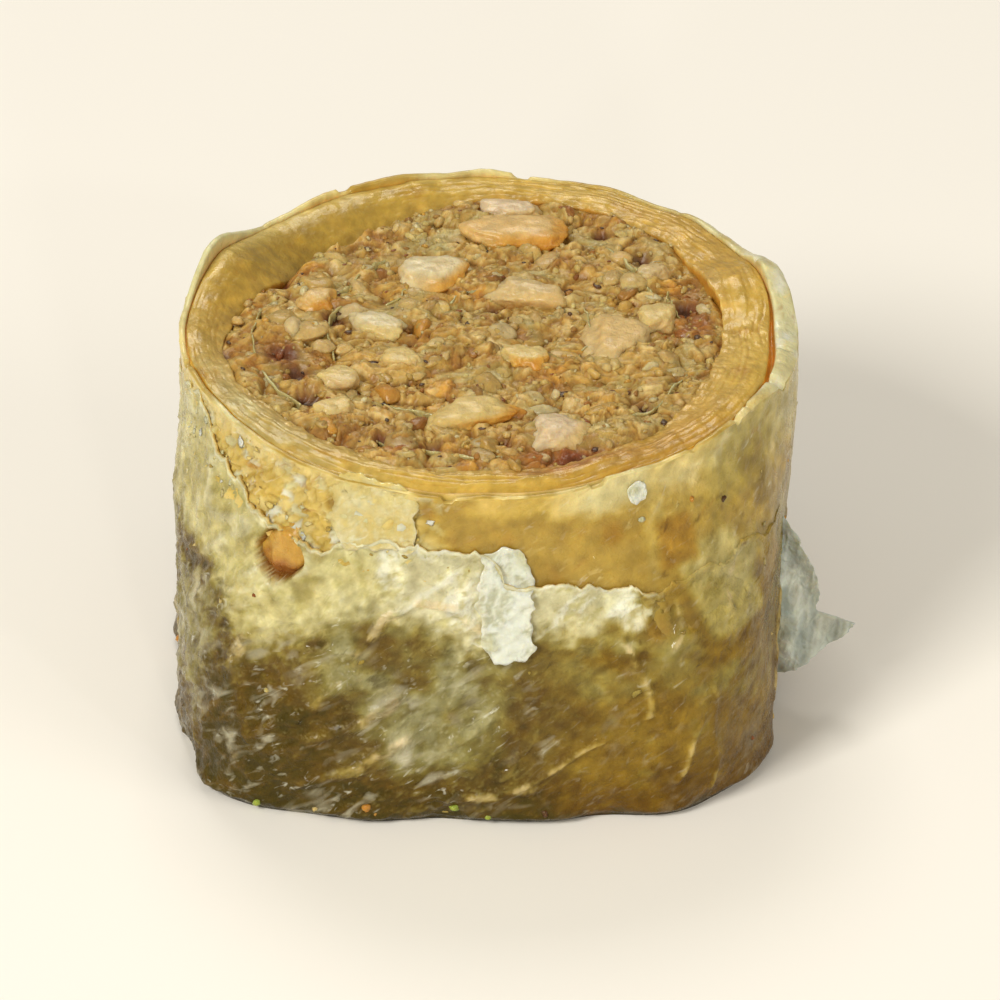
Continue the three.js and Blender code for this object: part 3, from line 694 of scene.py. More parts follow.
def sheetTint(angle, z):
    # pale above the drawn line, then haze in the middle, wet dark olive at the left and olive gold at the
    # right, all darker to the foot; creases get painted shade in their valleys and painted highlights on
    # their ridges, folds and glints are painted light too, and fine speckle covers everything
    x, y = onGirth(angle)
    along = girthFrom(angle)
    below = tornEdge(angle) - z
    cloud = fractal(x / 5, y / 5, z / 4)
    patch = fractal(x / 2.2 + 40, y / 2.2, z / 1.8)
    grit = fractal(x / 0.8 + 9, y / 0.8, z / 0.75)
    coarse, middle, fine = wrinkles(angle, z)
    much = crumpledness(angle, z)
    blotch = fractal(x / 1.3 + 70, y / 1.3, z / 1.1)
    rightSide = smooth((along - 2.5 + 2.5 * cloud) / 6) * (1 - smooth((along - 36) / 12))
    leftEdge = placeOn(outerSheet, "leftEdge", along)
    darkLeft = placeOn(outerSheet, "darkLeft", along) * (1 - smooth((z - 8.2 + cloud + patch) / 3.5))
    low = 1 - smooth((z + 1.2 * cloud - 1.0) / 5)
    hazy = placeOn(outerSheet, "haze", along) * smooth((z - 2.5 + patch) / 3) * (1 - 0.8 * darkLeft)
    pale = smooth((z - lineAt("paleFoot", angle) + 1.3 * patch + 0.9 * grit) / 2.6 + 0.5)
    pale = pale * (1 - 0.7 * rightSide * (along > 10))
    dark = much * (1 - 0.8 * pale) * (1 - 0.6 * hazy)
    glintStreaks = placeOn(outerSheet, "glintStreak", along) * band(z, 13.2, 20.0, 0.8)
    shadedCreases = placeOn(outerSheet, "shadedCreases", along) * band(z, 9.5, 21, 1)
    kite = band(along + 0.25 * (z - 15), 13.6, 18.6, 0.9) * band(z + 0.5 * patch, 12, 18.6, 0.9)
    glintSilver = spotsAt(along, z, outerSheet["glintSpots"])
    tint = tinted(
        "wetOlive",
        ("haze", leftEdge * smooth((z - 1) / 5) * smooth(0.5 + 1.4 * patch) * 0.55),
        ("haze", hazy * smooth(0.75 + 1.2 * patch) * 0.8),
        ("oliveDark", darkLeft * 0.85),
        ("wetOlive", darkLeft * smooth(1.6 * blotch) * 0.6),
        ("oliveGold", rightSide),
        ("film", rightSide * smooth((z - 13 + 2 * cloud) / 5) * 0.75),
        ("film", placeOn(outerSheet, "filmPatch", along) * smooth((z - 16.5) / 3) * 0.9),
        ("haze", rightSide * band(z + 1.5 * patch, 8, 18, 4) * smooth(0.2 + patch + cloud) * 0.6),
        ("goldDark", rightSide * smooth(1.9 * blotch - 0.15) * 0.6 * (1 - smooth((z - 14) / 4))),
        ("leafGreen", rightSide * smooth(-1.9 * blotch - 0.3) * 0.5),
        ("leafPale", kite * 0.7),
        ("gold", rightSide * smooth((z - 18) / 4) * 0.3),
        ("oliveDark", spotAt(along, z, 0.6, 5.2, 1.9) * 0.5),
        ("leafGreen", rightSide * smooth((along - 15) / 3) * smooth((z - 19.0 + patch) / 3) * 0.5),
        ("leafYellow", rightSide * smooth(z - 22.6 + 0.6 * patch) * 0.7
         * placeOn(outerSheet, "yellowRim", along)),
        # painted shadow down the right of the front
        ("goldDark", placeOn(outerSheet, "shadowRight", along) * smooth(0.4 + patch) * 0.5),
        ("oliveDark", low * (1 - rightSide) * 0.8),
        ("goldDark", low * rightSide * 0.9),
        # painted shade in the valleys of the coarse and middle wrinkles
        ("crackAndCreaseShade", dark * smooth((0.36 - coarse) * 4 - 0.3 * patch) * 0.5),
        ("crackAndCreaseShade", dark * smooth((0.30 - middle) * 5) * 0.4),
        # painted highlights on the ridges of the coarse and middle wrinkles
        ("glintSilver", dark * smooth((coarse - 0.68) * 6 + 0.4 * patch) * (1 - 0.8 * rightSide)
         * (1 - 0.6 * darkLeft) * 0.3),
        ("glintSilver", dark * smooth((middle - 0.7) * 7 + 0.3 * patch) * (1 - 0.6 * rightSide)
         * (1 - 0.4 * darkLeft) * 0.3),
        # painted glint clusters at the silver spots
        ("glintSilver", glintSilver * smooth(0.3 + 2 * grit) * 0.8),
        ("leafPale", pale * 0.85),
        ("leafCream", pale * smooth(0.5 + 0.7 * patch + 0.5 * grit) * 0.6 * (1 - 0.5 * leftEdge)),
        # painted highlights on the coarse ridges of the pale sheet
        ("leafWhiteAndGlint", pale * smooth((coarse - 0.45) * 4 + 0.6 * patch) * 0.75
         * (1 - 0.6 * smooth((-7.0 - along) / 3))),
        ("leafWhiteAndGlint", pale * placeOn(outerSheet, "whiteMiddle", along) * 0.4),
        ("leafGreen", pale * smooth((0.3 - middle) * 6 + 0.5 * grit) * 0.5),
        # painted glints: white specks on the fine ridges
        ("leafWhiteAndGlint", much * smooth((fine - 0.74) * 7 + grit) * 0.18 * (1 - 0.5 * rightSide)
         * (1 - 0.7 * darkLeft)),
        # painted highlights along the folds' ridges
        ("foldHighlight", smooth(foldRidges(angle, z) * 7 - 0.4) * smooth(0.45 + 2.2 * grit + blotch) * 0.6
         * (1 - 0.8 * darkLeft)),
        ("spot", (band(along + 0.3 * patch, 11.9, 14.6, 0.8) * band(z + 0.4 * patch, 17.6, 20.8, 0.8)) * 0.8),
        ("spot", spotAt(along, z, 11.0, 13.6, 0.9) * 0.6),
        ("leafWhiteAndGlint", band(below, 0, 0.28, 0.1) * 0.5 * (1 - divesAt(angle))),
        # painted glints in a streak at the tab's right end
        ("leafWhiteAndGlint", glintStreaks * smooth(0.1 + 2.2 * grit) * 0.6),
        # painted shade in the creases' valleys over the right of the front
        ("crackAndCreaseShade", shadedCreases * smooth((0.2 - middle) * 6 + blotch) * 0.4 * (1 - 0.7 * kite)),
        # painted shade in the hole over the window nut
        ("holeShade", smooth(1.5 * windowDepth(angle, z))),
    )
    shade = 1 + 0.16 * grit - 0.26 * (1 - smooth(z / 1.6 + 0.2))
    return tint * shade[..., None]


def makeOuterSheet():      # a band round the roll: up the outside to the torn edge and down again behind it
    angle = np.arange(outerSheet["columns"]) / outerSheet["columns"] * fullTurn
    edge = tornEdge(angle)
    x, y = onGirth(angle)
    points, tints, wets, creases = [], [], [], []
    for v in np.linspace(0, 1, outerSheet["rows"]):
        z = edge * v
        near = smooth((v - 0.86) / 0.14)
        sway = 0.3 * near * unevenness(x / 0.8, y / 0.8, 90 + v * 14) / roll["girth"]      # tabs lean along
        tuck = roll["footRounding"] * (1 - smooth(z / 0.9)) ** 2
        fast = np.minimum(z, edge - 0.61)                 # where the sheet covers the roll wholly
        radius = skin(angle, fast) + sheetLift(angle, z) - sheetLift(angle, fast) - tuck
        points.append(around(radius - outerSheet["windowDepth"] * windowDepth(angle, z), angle + sway, z))
        tints.append(sheetTint(angle, z))
        wets.append(0.6 + 0.4 * fractal(x / 3, y / 3, z / 3))
        pale = smooth((z - lineAt("paleFoot", angle)) / 2 + 0.5)
        creases.append(crumpledness(angle, z) * (1 - windowDepth(angle, z)) * (0.75 - 0.4 * pale))
    for behind, below in outerSheet["behind"]:
        z = np.maximum(edge - below, 0.0)
        relief = 0.3 * sheetRelief(angle, z) * (below < 100)
        radius = sideRadius(angle, z) + sheetLift(angle, z) - behind + relief
        sway = 0.3 * smooth(1 - below / 2.8) * unevenness(x / 0.8, y / 0.8, 104) / roll["girth"]
        points.append(around(radius - outerSheet["windowDepth"] * windowDepth(angle, z), angle + sway, z))
        tints.append(tinted("leafYellow", ("gapAmber", 0.3 + 0 * z)))
        wets.append(0.5 + 0 * z)
        creases.append(0 * z)
    faces = gridFaces(len(points), len(angle), closeRows=True, closeCols=True)
    addPiece("outerSheet", np.stack(points), [faces], np.stack(tints), clamp(np.stack(wets)),
             materials["wetSheet"], "phyllo", crumple=np.stack(creases))


makeOuterSheet()

# The roll itself: its amber side under the rim, the loose outer leaf, and the ends of the sheets round
# the filling
ring = {
    "columns": 670,
    "lowRows": 18,              # rows of the side that the outer sheet hides, then those that show
    "highRows": 58,
    "hidden": 12.5,             # the height between the two
    "rows": 40,
    "footRows": 10,
    "sheet": 0.44,              # spacing of the sheets at the cut
    "step": 0.055,              # how far sheets end above or below each other
    "groove": 0.07,
    "scales": (1.0, 0.65, 0.34),      # length, height and relief of the dry scales at the front left
    "spots": (                        # along, height, radius, drawn out along and up, strength
        (8.9, 20.7, 0.8, 1, 1, 1), (-10.6, 22.6, 0.6, 1, 1, 1), (-4.0, 23.2, 0.8, 1, 1, 1),
    ),
    "places": {                 # from, to and softness along the side
        "scales": (-29, -3.6, 4),
        "gold": (-30, -4.6, 1.2),
        "shaded": (-30, -3, 3),
        "bareRim": (-4.2, 4.5, 1.5),
        "goldRim": (-0.5, 6.5, 3),
        "sheetAbove": (11.6, 34, 2.0),
        "greenLeaf": (24, 42, 5),
    },
    # angle, spread, strength on the cut face
    "darkPlaces": ((-52, 40, 0.5), (35, 40, 0.25), (178, 30, 0.2)),
    "redFront": (-72, 22),      # angle and spread, as in the next ones
    "paleBack": (156, 40),
    "lowFront": (-96, 62),
    "greyLeft": (-150, 52),
    "amberBack": (138, 64),
    "goldRight": (-8, 62),
    "underDepth": 1.2,          # last step down the inner face, under the filling's top
}


def scaly(angle, z):
    # dry scales on the side: their height, the gaps, a shade for each, and where they are
    length, height, relief = ring["scales"]
    along = girthFrom(angle)
    x, y = onGirth(angle)
    bent = 0.4 * unevenness(x / 1.2, y / 1.2, z / 0.8)
    much = placeOn(ring, "scales", along) + 0.5 * smooth((np.abs(along) - 42) / 6)
    chip, gap, shade = chipped((along + bent) / length, (z + bent) / height, 1.0, 27)
    return much * relief * (0.6 * chip - 0.5 * gap), much * gap, shade, much


def rollTint(angle, z):
    # amber and film, gold scales at the front left, paler at the rim, a pale leaf at the right
    x, y = onGirth(angle)
    along = girthFrom(angle)
    cloud = fractal(x / 3.4, y / 3.4, z / 2.6)
    patch = fractal(x / 1.2, y / 1.2, z / 0.9)
    streaks = fractal(x / 1.1 + 8, y / 1.1, z / 3.0)
    _, gap, shade, much = scaly(angle, z)
    rightLeaf = placeOn(ring, "greenLeaf", along + 0.8 * streaks)
    fromLeft = placeOn(ring, "gold", along)
    nearRim = smooth((z - 22.8 + smooth((along - 2) / 3) * (along < 40) + 0.6 * patch) / 1.4)
    atRight = placeOn(ring, "sheetAbove", along)
    tint = tinted(
        "amber",
        ("film", smooth(0.5 + 1.4 * cloud) * 0.9),
        ("spot", smooth(1.8 * patch - 0.8) * 0.3),
        ("leafYellow", smooth(1.8 * streaks - 0.35) * 0.35),
        ("ringDark", smooth(-1.8 * streaks - 0.5) * 0.35),
        ("gold", clamp(fromLeft + much) * 0.9),
        ("leafYellow", much * smooth(1.8 * shade + 0.6 * patch - 0.2) * 0.8),
        ("leafCream", much * smooth((shade - 0.55) * 5 + 0.5 * patch) * 0.8),
        # the whitest scales are painted highlights
        ("leafWhiteAndGlint", much * smooth((shade - 0.8) * 8) * 0.8),
        ("spot", much * smooth((0.08 - shade) * 8) * 0.3),
        ("spot", gap * 0.25),
        ("leafGreen", rightLeaf * 0.85),
        ("leafYellow", nearRim * (1 - 0.95 * placeOn(ring, "bareRim", along)) * 0.65),
        ("gold", placeOn(ring, "goldRim", along) * smooth((z - 22 + 0.5 * patch) / 1.5) * 0.5),
        ("leafCream", nearRim * smooth((along - 4) / 4) * (1 - smooth((along - 40) / 6)) * 0.6),
        ("spot", spotsAt(along, z, ring["spots"]) * 0.85),
    )
    tint = mixed(tint, sheetTint(angle, z), atRight[..., None])
    # darker at the front left, where the key light falls most: painted shade that evens out that light
    return tint * (1 + 0.1 * patch - 0.08 * placeOn(ring, "shaded", along))[..., None]


def sideTint(angle, z):      # what shows on the side: the sheet's tint below its torn edge, the roll's above
    below = smooth((tornEdge(angle) - z) / 0.4 + 0.5)
    return mixed(rollTint(angle, z), sheetTint(angle, z), below[..., None])


def makeRoll():
    # one closed skin, row by row round the roll: up the side, over the loose leaf's edge and down into
    # its gap, across the sheets' ends with their lines, steps and sag, down the inner face and back under
    # the foot
    angle = np.arange(ring["columns"]) / ring["columns"] * fullTurn
    x, y = onGirth(angle)
    lift = sum(peak * hill(angle, centre, spread) for centre, spread, peak in roll["leafPeaks"])
    ripple = roll["rimRipple"] * roundUnevenness(angle, 7, 5)
    centre, spread, thicker = roll["looseLeaf"]
    loose = hill(angle, centre, spread)
    centre, spread, wider, deeper = roll["orangeGap"]
    apart = hill(angle, centre, spread)
    nicks = 0.14 * fractal(x / 1.7, y / 1.7, 3.3)
    nicks = nicks - 0.3 * smooth((unevenness(x / 1.3, y / 1.3, 8.8) - 0.42) * 4)
    atFront = hill(angle, *ring["lowFront"])
    leafTop = cut + lift + ripple - 0.2 + nicks - 0.45 * atFront
    layersTop = cut + (lift + ripple) / 2
    curl = 0.6 * loose                                # the loose leaf's top leans outward
    outside = sideRadius(angle, cut)
    inside = innerRadius(angle, cut) + 0.35 * fractal(x / 2.2, y / 2.2, 6.6)
    leafInside = outside - roll["leafThickness"] - thicker * loose
    gapWidth = roll["leafGap"][0] + wider * apart
    gapBottom = layersTop - roll["leafGap"][1] - deeper * apart - 0.3
    layersOutside = leafInside - gapWidth
    greyLeft = hill(angle, *ring["greyLeft"])
    amberBack = hill(angle, *ring["amberBack"])
    goldRight = hill(angle, *ring["goldRight"])
    rows, tints, wets, creases = [], [], [], []

    def row(radius, z, tint, wet, crease=0.0):
        rows.append(around(radius, angle, z))
        tints.append(np.broadcast_to(tint, (len(angle), 3)))
        wets.append(np.broadcast_to(wet, len(angle)))
        creases.append(np.broadcast_to(crease, len(angle)))

    edge = tornEdge(angle)
    hidden = ring["hidden"]
    lowPart = np.linspace(0, 1, ring["lowRows"] + 1)[:-1, None] * hidden + 0 * angle
    highPart = mixed(hidden, leafTop - curl - 0.12, np.linspace(0, 1, ring["highRows"])[:, None])
    for z in np.concatenate([lowPart, highPart]):
        covered = smooth((edge - 1.6 - 1.8 * divesAt(angle) - z) / 1.2)
        relief = 0.07 * fractal(x / 1.3, y / 1.3, z / 0.8) + 0.1 * (creased(x / 1.6, y / 1.6, z / 3.2) - 0.35)
        relief = relief + scaly(angle, z)[0] * (1 - smooth((z - 23.8) / 0.8))
        tuck = roll["footRounding"] * (1 - smooth(z / 0.7)) ** 2
        radius = sideRadius(angle, np.minimum(z, cut)) + relief * (1 - covered) - 0.3 * covered - tuck
        hole = windowDepth(angle, z)
        row(radius - 1.3 * hole, z, tinted(rollTint(angle, z), ("gapAmber", hole)),
            0.65 + 0.35 * fractal(x / 3, y / 3, z / 3),
            0.55 * smooth(0.6 + fractal(x / 3, y / 3, z / 2)) + 0.45 * scaly(angle, z)[3])
    leafTint = tinted(
        "film",
        ("leafYellow", smooth(0.55 + 1.6 * roundUnevenness(angle, 11, 2.5)) * 0.9),
        ("leafCream", smooth(0.3 + 1.6 * roundUnevenness(angle, 6, 7.5)) * 0.9 * (1 - 0.6 * atFront)),
        ("leafCream", loose + hill(angle, *ring["paleBack"])),
    )
    for turn in (20, 45, 70, 90, 110, 135, 160):
        share = (1 - math.cos(math.radians(turn))) / 2
        z = leafTop - 0.12 - curl * (1 - share) ** 1.5 + 0.12 * math.sin(math.radians(turn))
        z = z + loose * 0.28 * fractal(x / 1.1, y / 1.1, share * 2)
        white = loose * smooth(0.2 + 1.6 * fractal(x / 1.6, y / 1.6, share * 2 + 5))
        row(mixed(outside, leafInside, share), z, tinted(leafTint, ("leafWhiteAndGlint", white)), 0.6, 0.8 * loose)
    inGap = 0.35 + 0.65 * apart
    for t in np.linspace(0.1, 1, 6):
        z = mixed(leafTop - 0.16, gapBottom, t)
        row(leafInside - 0.3 * gapWidth * t, z, tinted(leafTint, ("gapAmber", (1.6 * t - 0.1) * inGap)), 0.5)
    outerSlope = 0.75 * atFront + 0.25               # the outer sheets end lower, most of all at the front
    for t in np.linspace(1, 0, 5)[:-1]:
        z = mixed(layersTop - outerSlope, gapBottom - 0.6 * atFront, t)
        row(layersOutside + 0.3 * gapWidth * t, z, tinted("ring", ("gapAmber", 1.5 * t * inGap)), 0.5)

    width = layersOutside - inside
    for t in np.linspace(0, 1, ring["rows"]):
        across = t * width                                # millimetres in from the leaf
        waver = 0.9 * fractal(x / 5, y / 5, t * 1.6)
        sheet = across / ring["sheet"] + waver + angle / fullTurn
        number = np.floor(sheet)
        step = unevenness(x / 4.2, y / 4.2, number * 1.7)
        between = (np.abs(np.mod(sheet, 1) - 0.5) * 2) ** 3      # 0 in the middle of a sheet, 1 between two
        parted = smooth(0.25 + 1.5 * unevenness(x / 3.4, y / 3.4, number * 2.3 + 30)) * (1 - 0.95 * amberBack)
        sag = (1.7 * amberBack + 0.35) * t ** 1.6
        crumbs = smooth((t - 0.55) / 0.45) * (1 - 0.5 * amberBack)
        z = layersTop - sag - outerSlope * np.maximum(1 - across / 1.9, 0) ** 1.6
        z = z + ring["step"] * step * (1 - 0.9 * amberBack) - ring["groove"] * between * parted
        z = z + 0.2 * crumbs * fractal(x / 0.7, y / 0.7, 5 + t * 3) + 0.1 * fractal(x / 1.1, y / 1.1, t * 4)
        tint = tinted(
            "ring",
            ("ringGrey", greyLeft * 0.9),
            ("amber", amberBack * 0.9),
            ("ringPale", smooth(0.1 + 1.2 * step) * 0.3 * (1 - 0.8 * amberBack) * (1 - 0.5 * atFront)),
            ("leafYellow", amberBack * smooth(1 - t * 2.6) * 0.6),
            ("leafCream", greyLeft * smooth(0.2 + 1.5 * fractal(x / 2, y / 2, t * 3 + 8)) * 0.4),
            ("ringDark", between * parted * mixed(0.3, 0.42, goldRight)),
            *(("ringDark", hill(angle, at, spread) * much) for at, spread, much in ring["darkPlaces"]),
            ("mealRed", hill(angle, *ring["redFront"]) * smooth((t - 0.5) / 0.3) * 0.85),
            ("ringDark", smooth(1.6 * fractal(x / 2.0, y / 2.0, t * 2 + 5) - 0.2) * 0.45
             * (1 - 0.6 * amberBack)),
            ("spot", smooth(1.8 * fractal(x / 1.5, y / 1.5, t * 4 + 15) - 0.6) * 0.5),
            ("meal", crumbs * 0.6),
        )
        row(layersOutside - across, z, tint * (1 + 0.12 * fractal(x / 0.6, y / 0.6, t * 6))[..., None],
            0.5 + 0.3 * step)
    for t in (0.3, 1.0):
        row(inside, rows[-1][:, 2] - ring["underDepth"] * t,
            tinted("ringDark", ("gapAmber", 0.4 + 0 * angle)), 0.4)

    footInside = innerRadius(angle, 0.0)
    footOutside = sideRadius(angle, 0.0) - roll["footRounding"] - 0.3
    row(footInside, 0.05, tinted("ringDark"), 0.4)
    for t in np.linspace(0.05, 0.95, ring["footRows"]):
        sheet = t * (footOutside - footInside) / ring["sheet"]
        step = unevenness(x / 4.2, y / 4.2, np.floor(sheet) * 1.7 + 40)
        tint = tinted("ring", ("ringPale", smooth(step)), ("ringDark", 0.3 + 0 * step))
        row(mixed(footInside, footOutside, t), 0.14 * smooth(0.5 + step), tint, 0.5)
    faces = gridFaces(len(rows), len(angle), closeRows=True, closeCols=True)
    addPiece("phylloRoll", np.stack(rows), [faces], np.stack(tints), clamp(np.stack(wets)),
             materials["syrupPhyllo"], "phyllo", "phyllo_wrap", np.stack(creases))


# Thin leaves torn from the outside
leaves = {
    "cell": 0.17,
    "thickness": 0.1,
    "waves": ((2.4, 0.65), (0.85, 0.4), (0.34, 0.2)),      # length and reach of the tears in a free side
    # along from and to, height from and to, how far it stands off, free sides, colour, whiteness, turn
    "torn": (
        (-11.5, -4.4, 20.0, 24.5, 0.12, "rb", "flap", 0.35, 0),
        (-0.5, 3.1, 12.2, 20.6, 0.3, "lrbt", "leafWhiteAndGlint", 1.0, 0),
        # the small white leaf next is a painted glint at the rim right
        (10.2, 11.7, 22.5, 23.9, 0.12, "lrbt", "leafWhiteAndGlint", 0.9, 12),
        (45.5, 57.0, 14.4, 20.6, 0.2, "lb", "leafPale", 0.2, -24),
        (-62.0, -55.0, 6.6, 11.4, 0.15, "rt", "haze", 0.2, 32),
        (-48.0, -35.0, 13.6, 20.2, 0.25, "lb", "leafPale", 0.3, 17),
    ),
}


def tornLeaf(n, spec):
    # a slab over u along and v up. Its edges wander by noise at three lengths and its corners are drawn
    # in. It stands off a little more towards a free side, and dives under the skin at the others
    start, stop, low, high, lift, freeSides, tone, white, turn = spec
    length, height = stop - start, high - low
    cols, rows = max(12, int(length / leaves["cell"])), max(12, int(height / leaves["cell"]))
    u, v = np.meshgrid(np.linspace(0, 1, cols), np.linspace(0, 1, rows))
    ragged = min(1.0, 0.2 * min(length, height)) * (1.7 if abs(turn) > 15 else 1)

    def torn(place, side):
        waves = (reach * unevenness(place / wave, n * 3.3, side * 7 + wave)
                 for wave, reach in leaves["waves"])
        return ragged * sum(waves)

    drawnIn = 0.7 * ragged
    along = start + u * length + torn(v * height, 1) * (1 - u) ** 3 + torn(v * height, 2) * u ** 3
    along = along + drawnIn * ((1 - u) ** 4 - u ** 4) * (2 * v - 1) ** 4
    z = low + v * height + torn(u * length, 3) * (1 - v) ** 3 + torn(u * length, 4) * v ** 3
    z = z + drawnIn * ((1 - v) ** 4 - v ** 4) * (2 * u - 1) ** 4
    c, s = math.cos(math.radians(turn)), math.sin(math.radians(turn))
    middle, level = (start + stop) / 2, (low + high) / 2
    aside, above = along - middle, z - level
    z = level + aside * s + above * c
    angle = angleFrom(middle + aside * c - above * s)
    sides = {"l": u * length, "r": (1 - u) * length, "b": v * height, "t": (1 - v) * height}
    free = np.minimum.reduce([sides[side] for side in freeSides])
    held = np.minimum.reduce([sides[side] for side in sides if side not in freeSides] or [9 + 0 * u])
    x, y = onGirth(angle)
    wave = fractal(x / 1.7 + n, y / 1.7, z / 1.3)
    coarse, fine = creased(x / 1.5 + n, y / 1.5, z / 1.2), creased(x / 0.6 + n, y / 0.6, z / 0.6, 2)
    up = 0.07 + lift * (0.25 + 0.9 * np.exp(-free / 0.8)) * smooth(0.6 + 0.9 * wave)
    up = up + 0.22 * white * (coarse - 0.3) + 0.08 * (fine - 0.3)
    inward = smooth(held / 1.6)
    offset = mixed(-0.2, up, inward)
    thick = leaves["thickness"] * smooth(0.4 + free / 0.3)
    base = skin(angle, z)
    tint = tinted(
        tone,
        # white on the creases' ridges is painted highlight, and haze in their valleys painted shade
        ("leafWhiteAndGlint", white * smooth(0.3 + 1.3 * wave) * 0.6 + white * smooth((coarse - 0.4) * 4) * 0.6),
        ("haze", white * smooth((0.34 - coarse) * 5) * 0.55),
        ("leafGreen", white * smooth(-2 * wave - 0.2) * 0.5),
        ("leafWhiteAndGlint", white * smooth((fine - 0.6) * 6) * 0.7),
        ("leafYellow", smooth(1.3 * fractal(x / 3 + 20, y / 3, z / 2.4) - 0.1) * (1 - white) * 0.4),
        ("leafWhiteAndGlint", smooth(1 - free / 0.25) * 0.4 * (lift > 0.1)),
    )
    tint = mixed(sideTint(angle, z), tint, inward[..., None])
    front, back = around(base + offset, angle, z), around(base + offset - thick, angle, z)
    return slab(front, back, tint, tint, clamp(0.7 + 0.4 * wave))


tornParts = joined([tornLeaf(n, spec) for n, spec in enumerate(leaves["torn"])])
addPiece("tornLeaves", *tornParts, materials["tornLeaf"], "phyllo", crumple=0.5)

# Flakes of dry sheet stuck to the side and the rim
flakes = {
    "count": 130,
    "seed": 5,
    "segments": 9,
    "size": (0.3, 1.1),
    "thickness": 0.04,
    "highest": 24.75,
    "frontLeftShare": 0.6,      # share of them in the gold patch at the front left
    "frontLeft": (-27, -3.5, 19.6, 24.4),      # along from and to, height from and to
    "dullBelow": 18,            # under this height they are soaked, and part olive
    "colours": ("leafYellow", "leafCream", "leafWhiteAndGlint", "gold", "film"),
    "weights": (4, 3, 2, 4, 2),
}


def pickTints(random, count, names, weights, shades=(0.88, 1.05)):
    # seeded colours by weight, each a little shaded
    picks = random.choice(len(names), count, p=np.array(weights) / sum(weights))
    return np.array([colours[n] for n in names], float)[picks] * random.uniform(*shades, (count, 1))


def makeFlakes():
    # each flake is a small bent polygon: a middle, a half-way ring and a rim, with a plain under side
    random = np.random.default_rng(flakes["seed"])
    count, segments = flakes["count"], flakes["segments"]
    fromAlong, toAlong, low, high = flakes["frontLeft"]
    inPatch = random.uniform(0, 1, count) < flakes["frontLeftShare"]
    along = np.where(inPatch, random.uniform(fromAlong, toAlong, count), random.uniform(-65, 65, count))
    z = np.where(inPatch, random.uniform(low, high, count), 4 + 20.3 * random.uniform(0, 1, count) ** 0.4)
    length = mixed(*flakes["size"], random.uniform(0, 1, count) ** 2.2)
    theta = np.arange(segments) / segments * fullTurn
    outline = random.uniform(0.5, 1.0, (count, segments)) * length[:, None] / 2
    squash = random.uniform(0.35, 0.9, count)[:, None]
    spin = random.uniform(0, math.pi, count)[:, None]
    rimU, rimV = outline * np.cos(theta), outline * np.sin(theta) * squash
    localU = np.concatenate([np.zeros((count, 1)), rimU * 0.5, rimU], 1)
    localV = np.concatenate([np.zeros((count, 1)), rimV * 0.5, rimV], 1)
    du = localU * np.cos(spin) - localV * np.sin(spin)
    dv = localU * np.sin(spin) + localV * np.cos(spin)
    angle = angleFrom(along[:, None] + du)
    height = np.minimum(z[:, None] + dv, flakes["highest"])
    tilt = random.uniform(-0.12, 0.12, count)[:, None] * localU
    base = skin(angle, height) + 0.03 + tilt + random.uniform(0, 0.03, count)[:, None]
    below = around(base - flakes["thickness"], angle, height)[:, :1 + segments]
    points = np.concatenate([around(base, angle, height), below], 1)
    j = np.arange(segments)
    after = (j + 1) % segments
    middle = 1 + 2 * segments                         # of the under side
    half, rim, under = 1 + j, 1 + segments + j, middle + 1 + j
    halfNext, rimNext, underNext = 1 + after, 1 + segments + after, middle + 1 + after
    fans = np.concatenate([np.stack([0 * j, half, halfNext], -1),
                           np.stack([0 * j + middle, underNext, under], -1)])
    quads = np.concatenate([np.stack([half, rim, rimNext, halfNext], -1),
                            np.stack([rim, under, underNext, rimNext], -1)])
    starts = (np.arange(count) * points.shape[1])[:, None, None]
    drawn = pickTints(random, count, flakes["colours"], flakes["weights"], (0.88, 1.0))
    drawn = np.where((z < flakes["dullBelow"])[:, None], tinted(drawn, ("oliveGold", 0.6)), drawn)
    tint = np.broadcast_to(drawn[:, None], points.shape)
    faces = [(quads + starts).reshape(-1, 4), (fans + starts).reshape(-1, 3)]
    addPiece("sideFlakes", points, faces, tint, 0.7, materials["tornLeaf"], "phyllo")


makeFlakes()

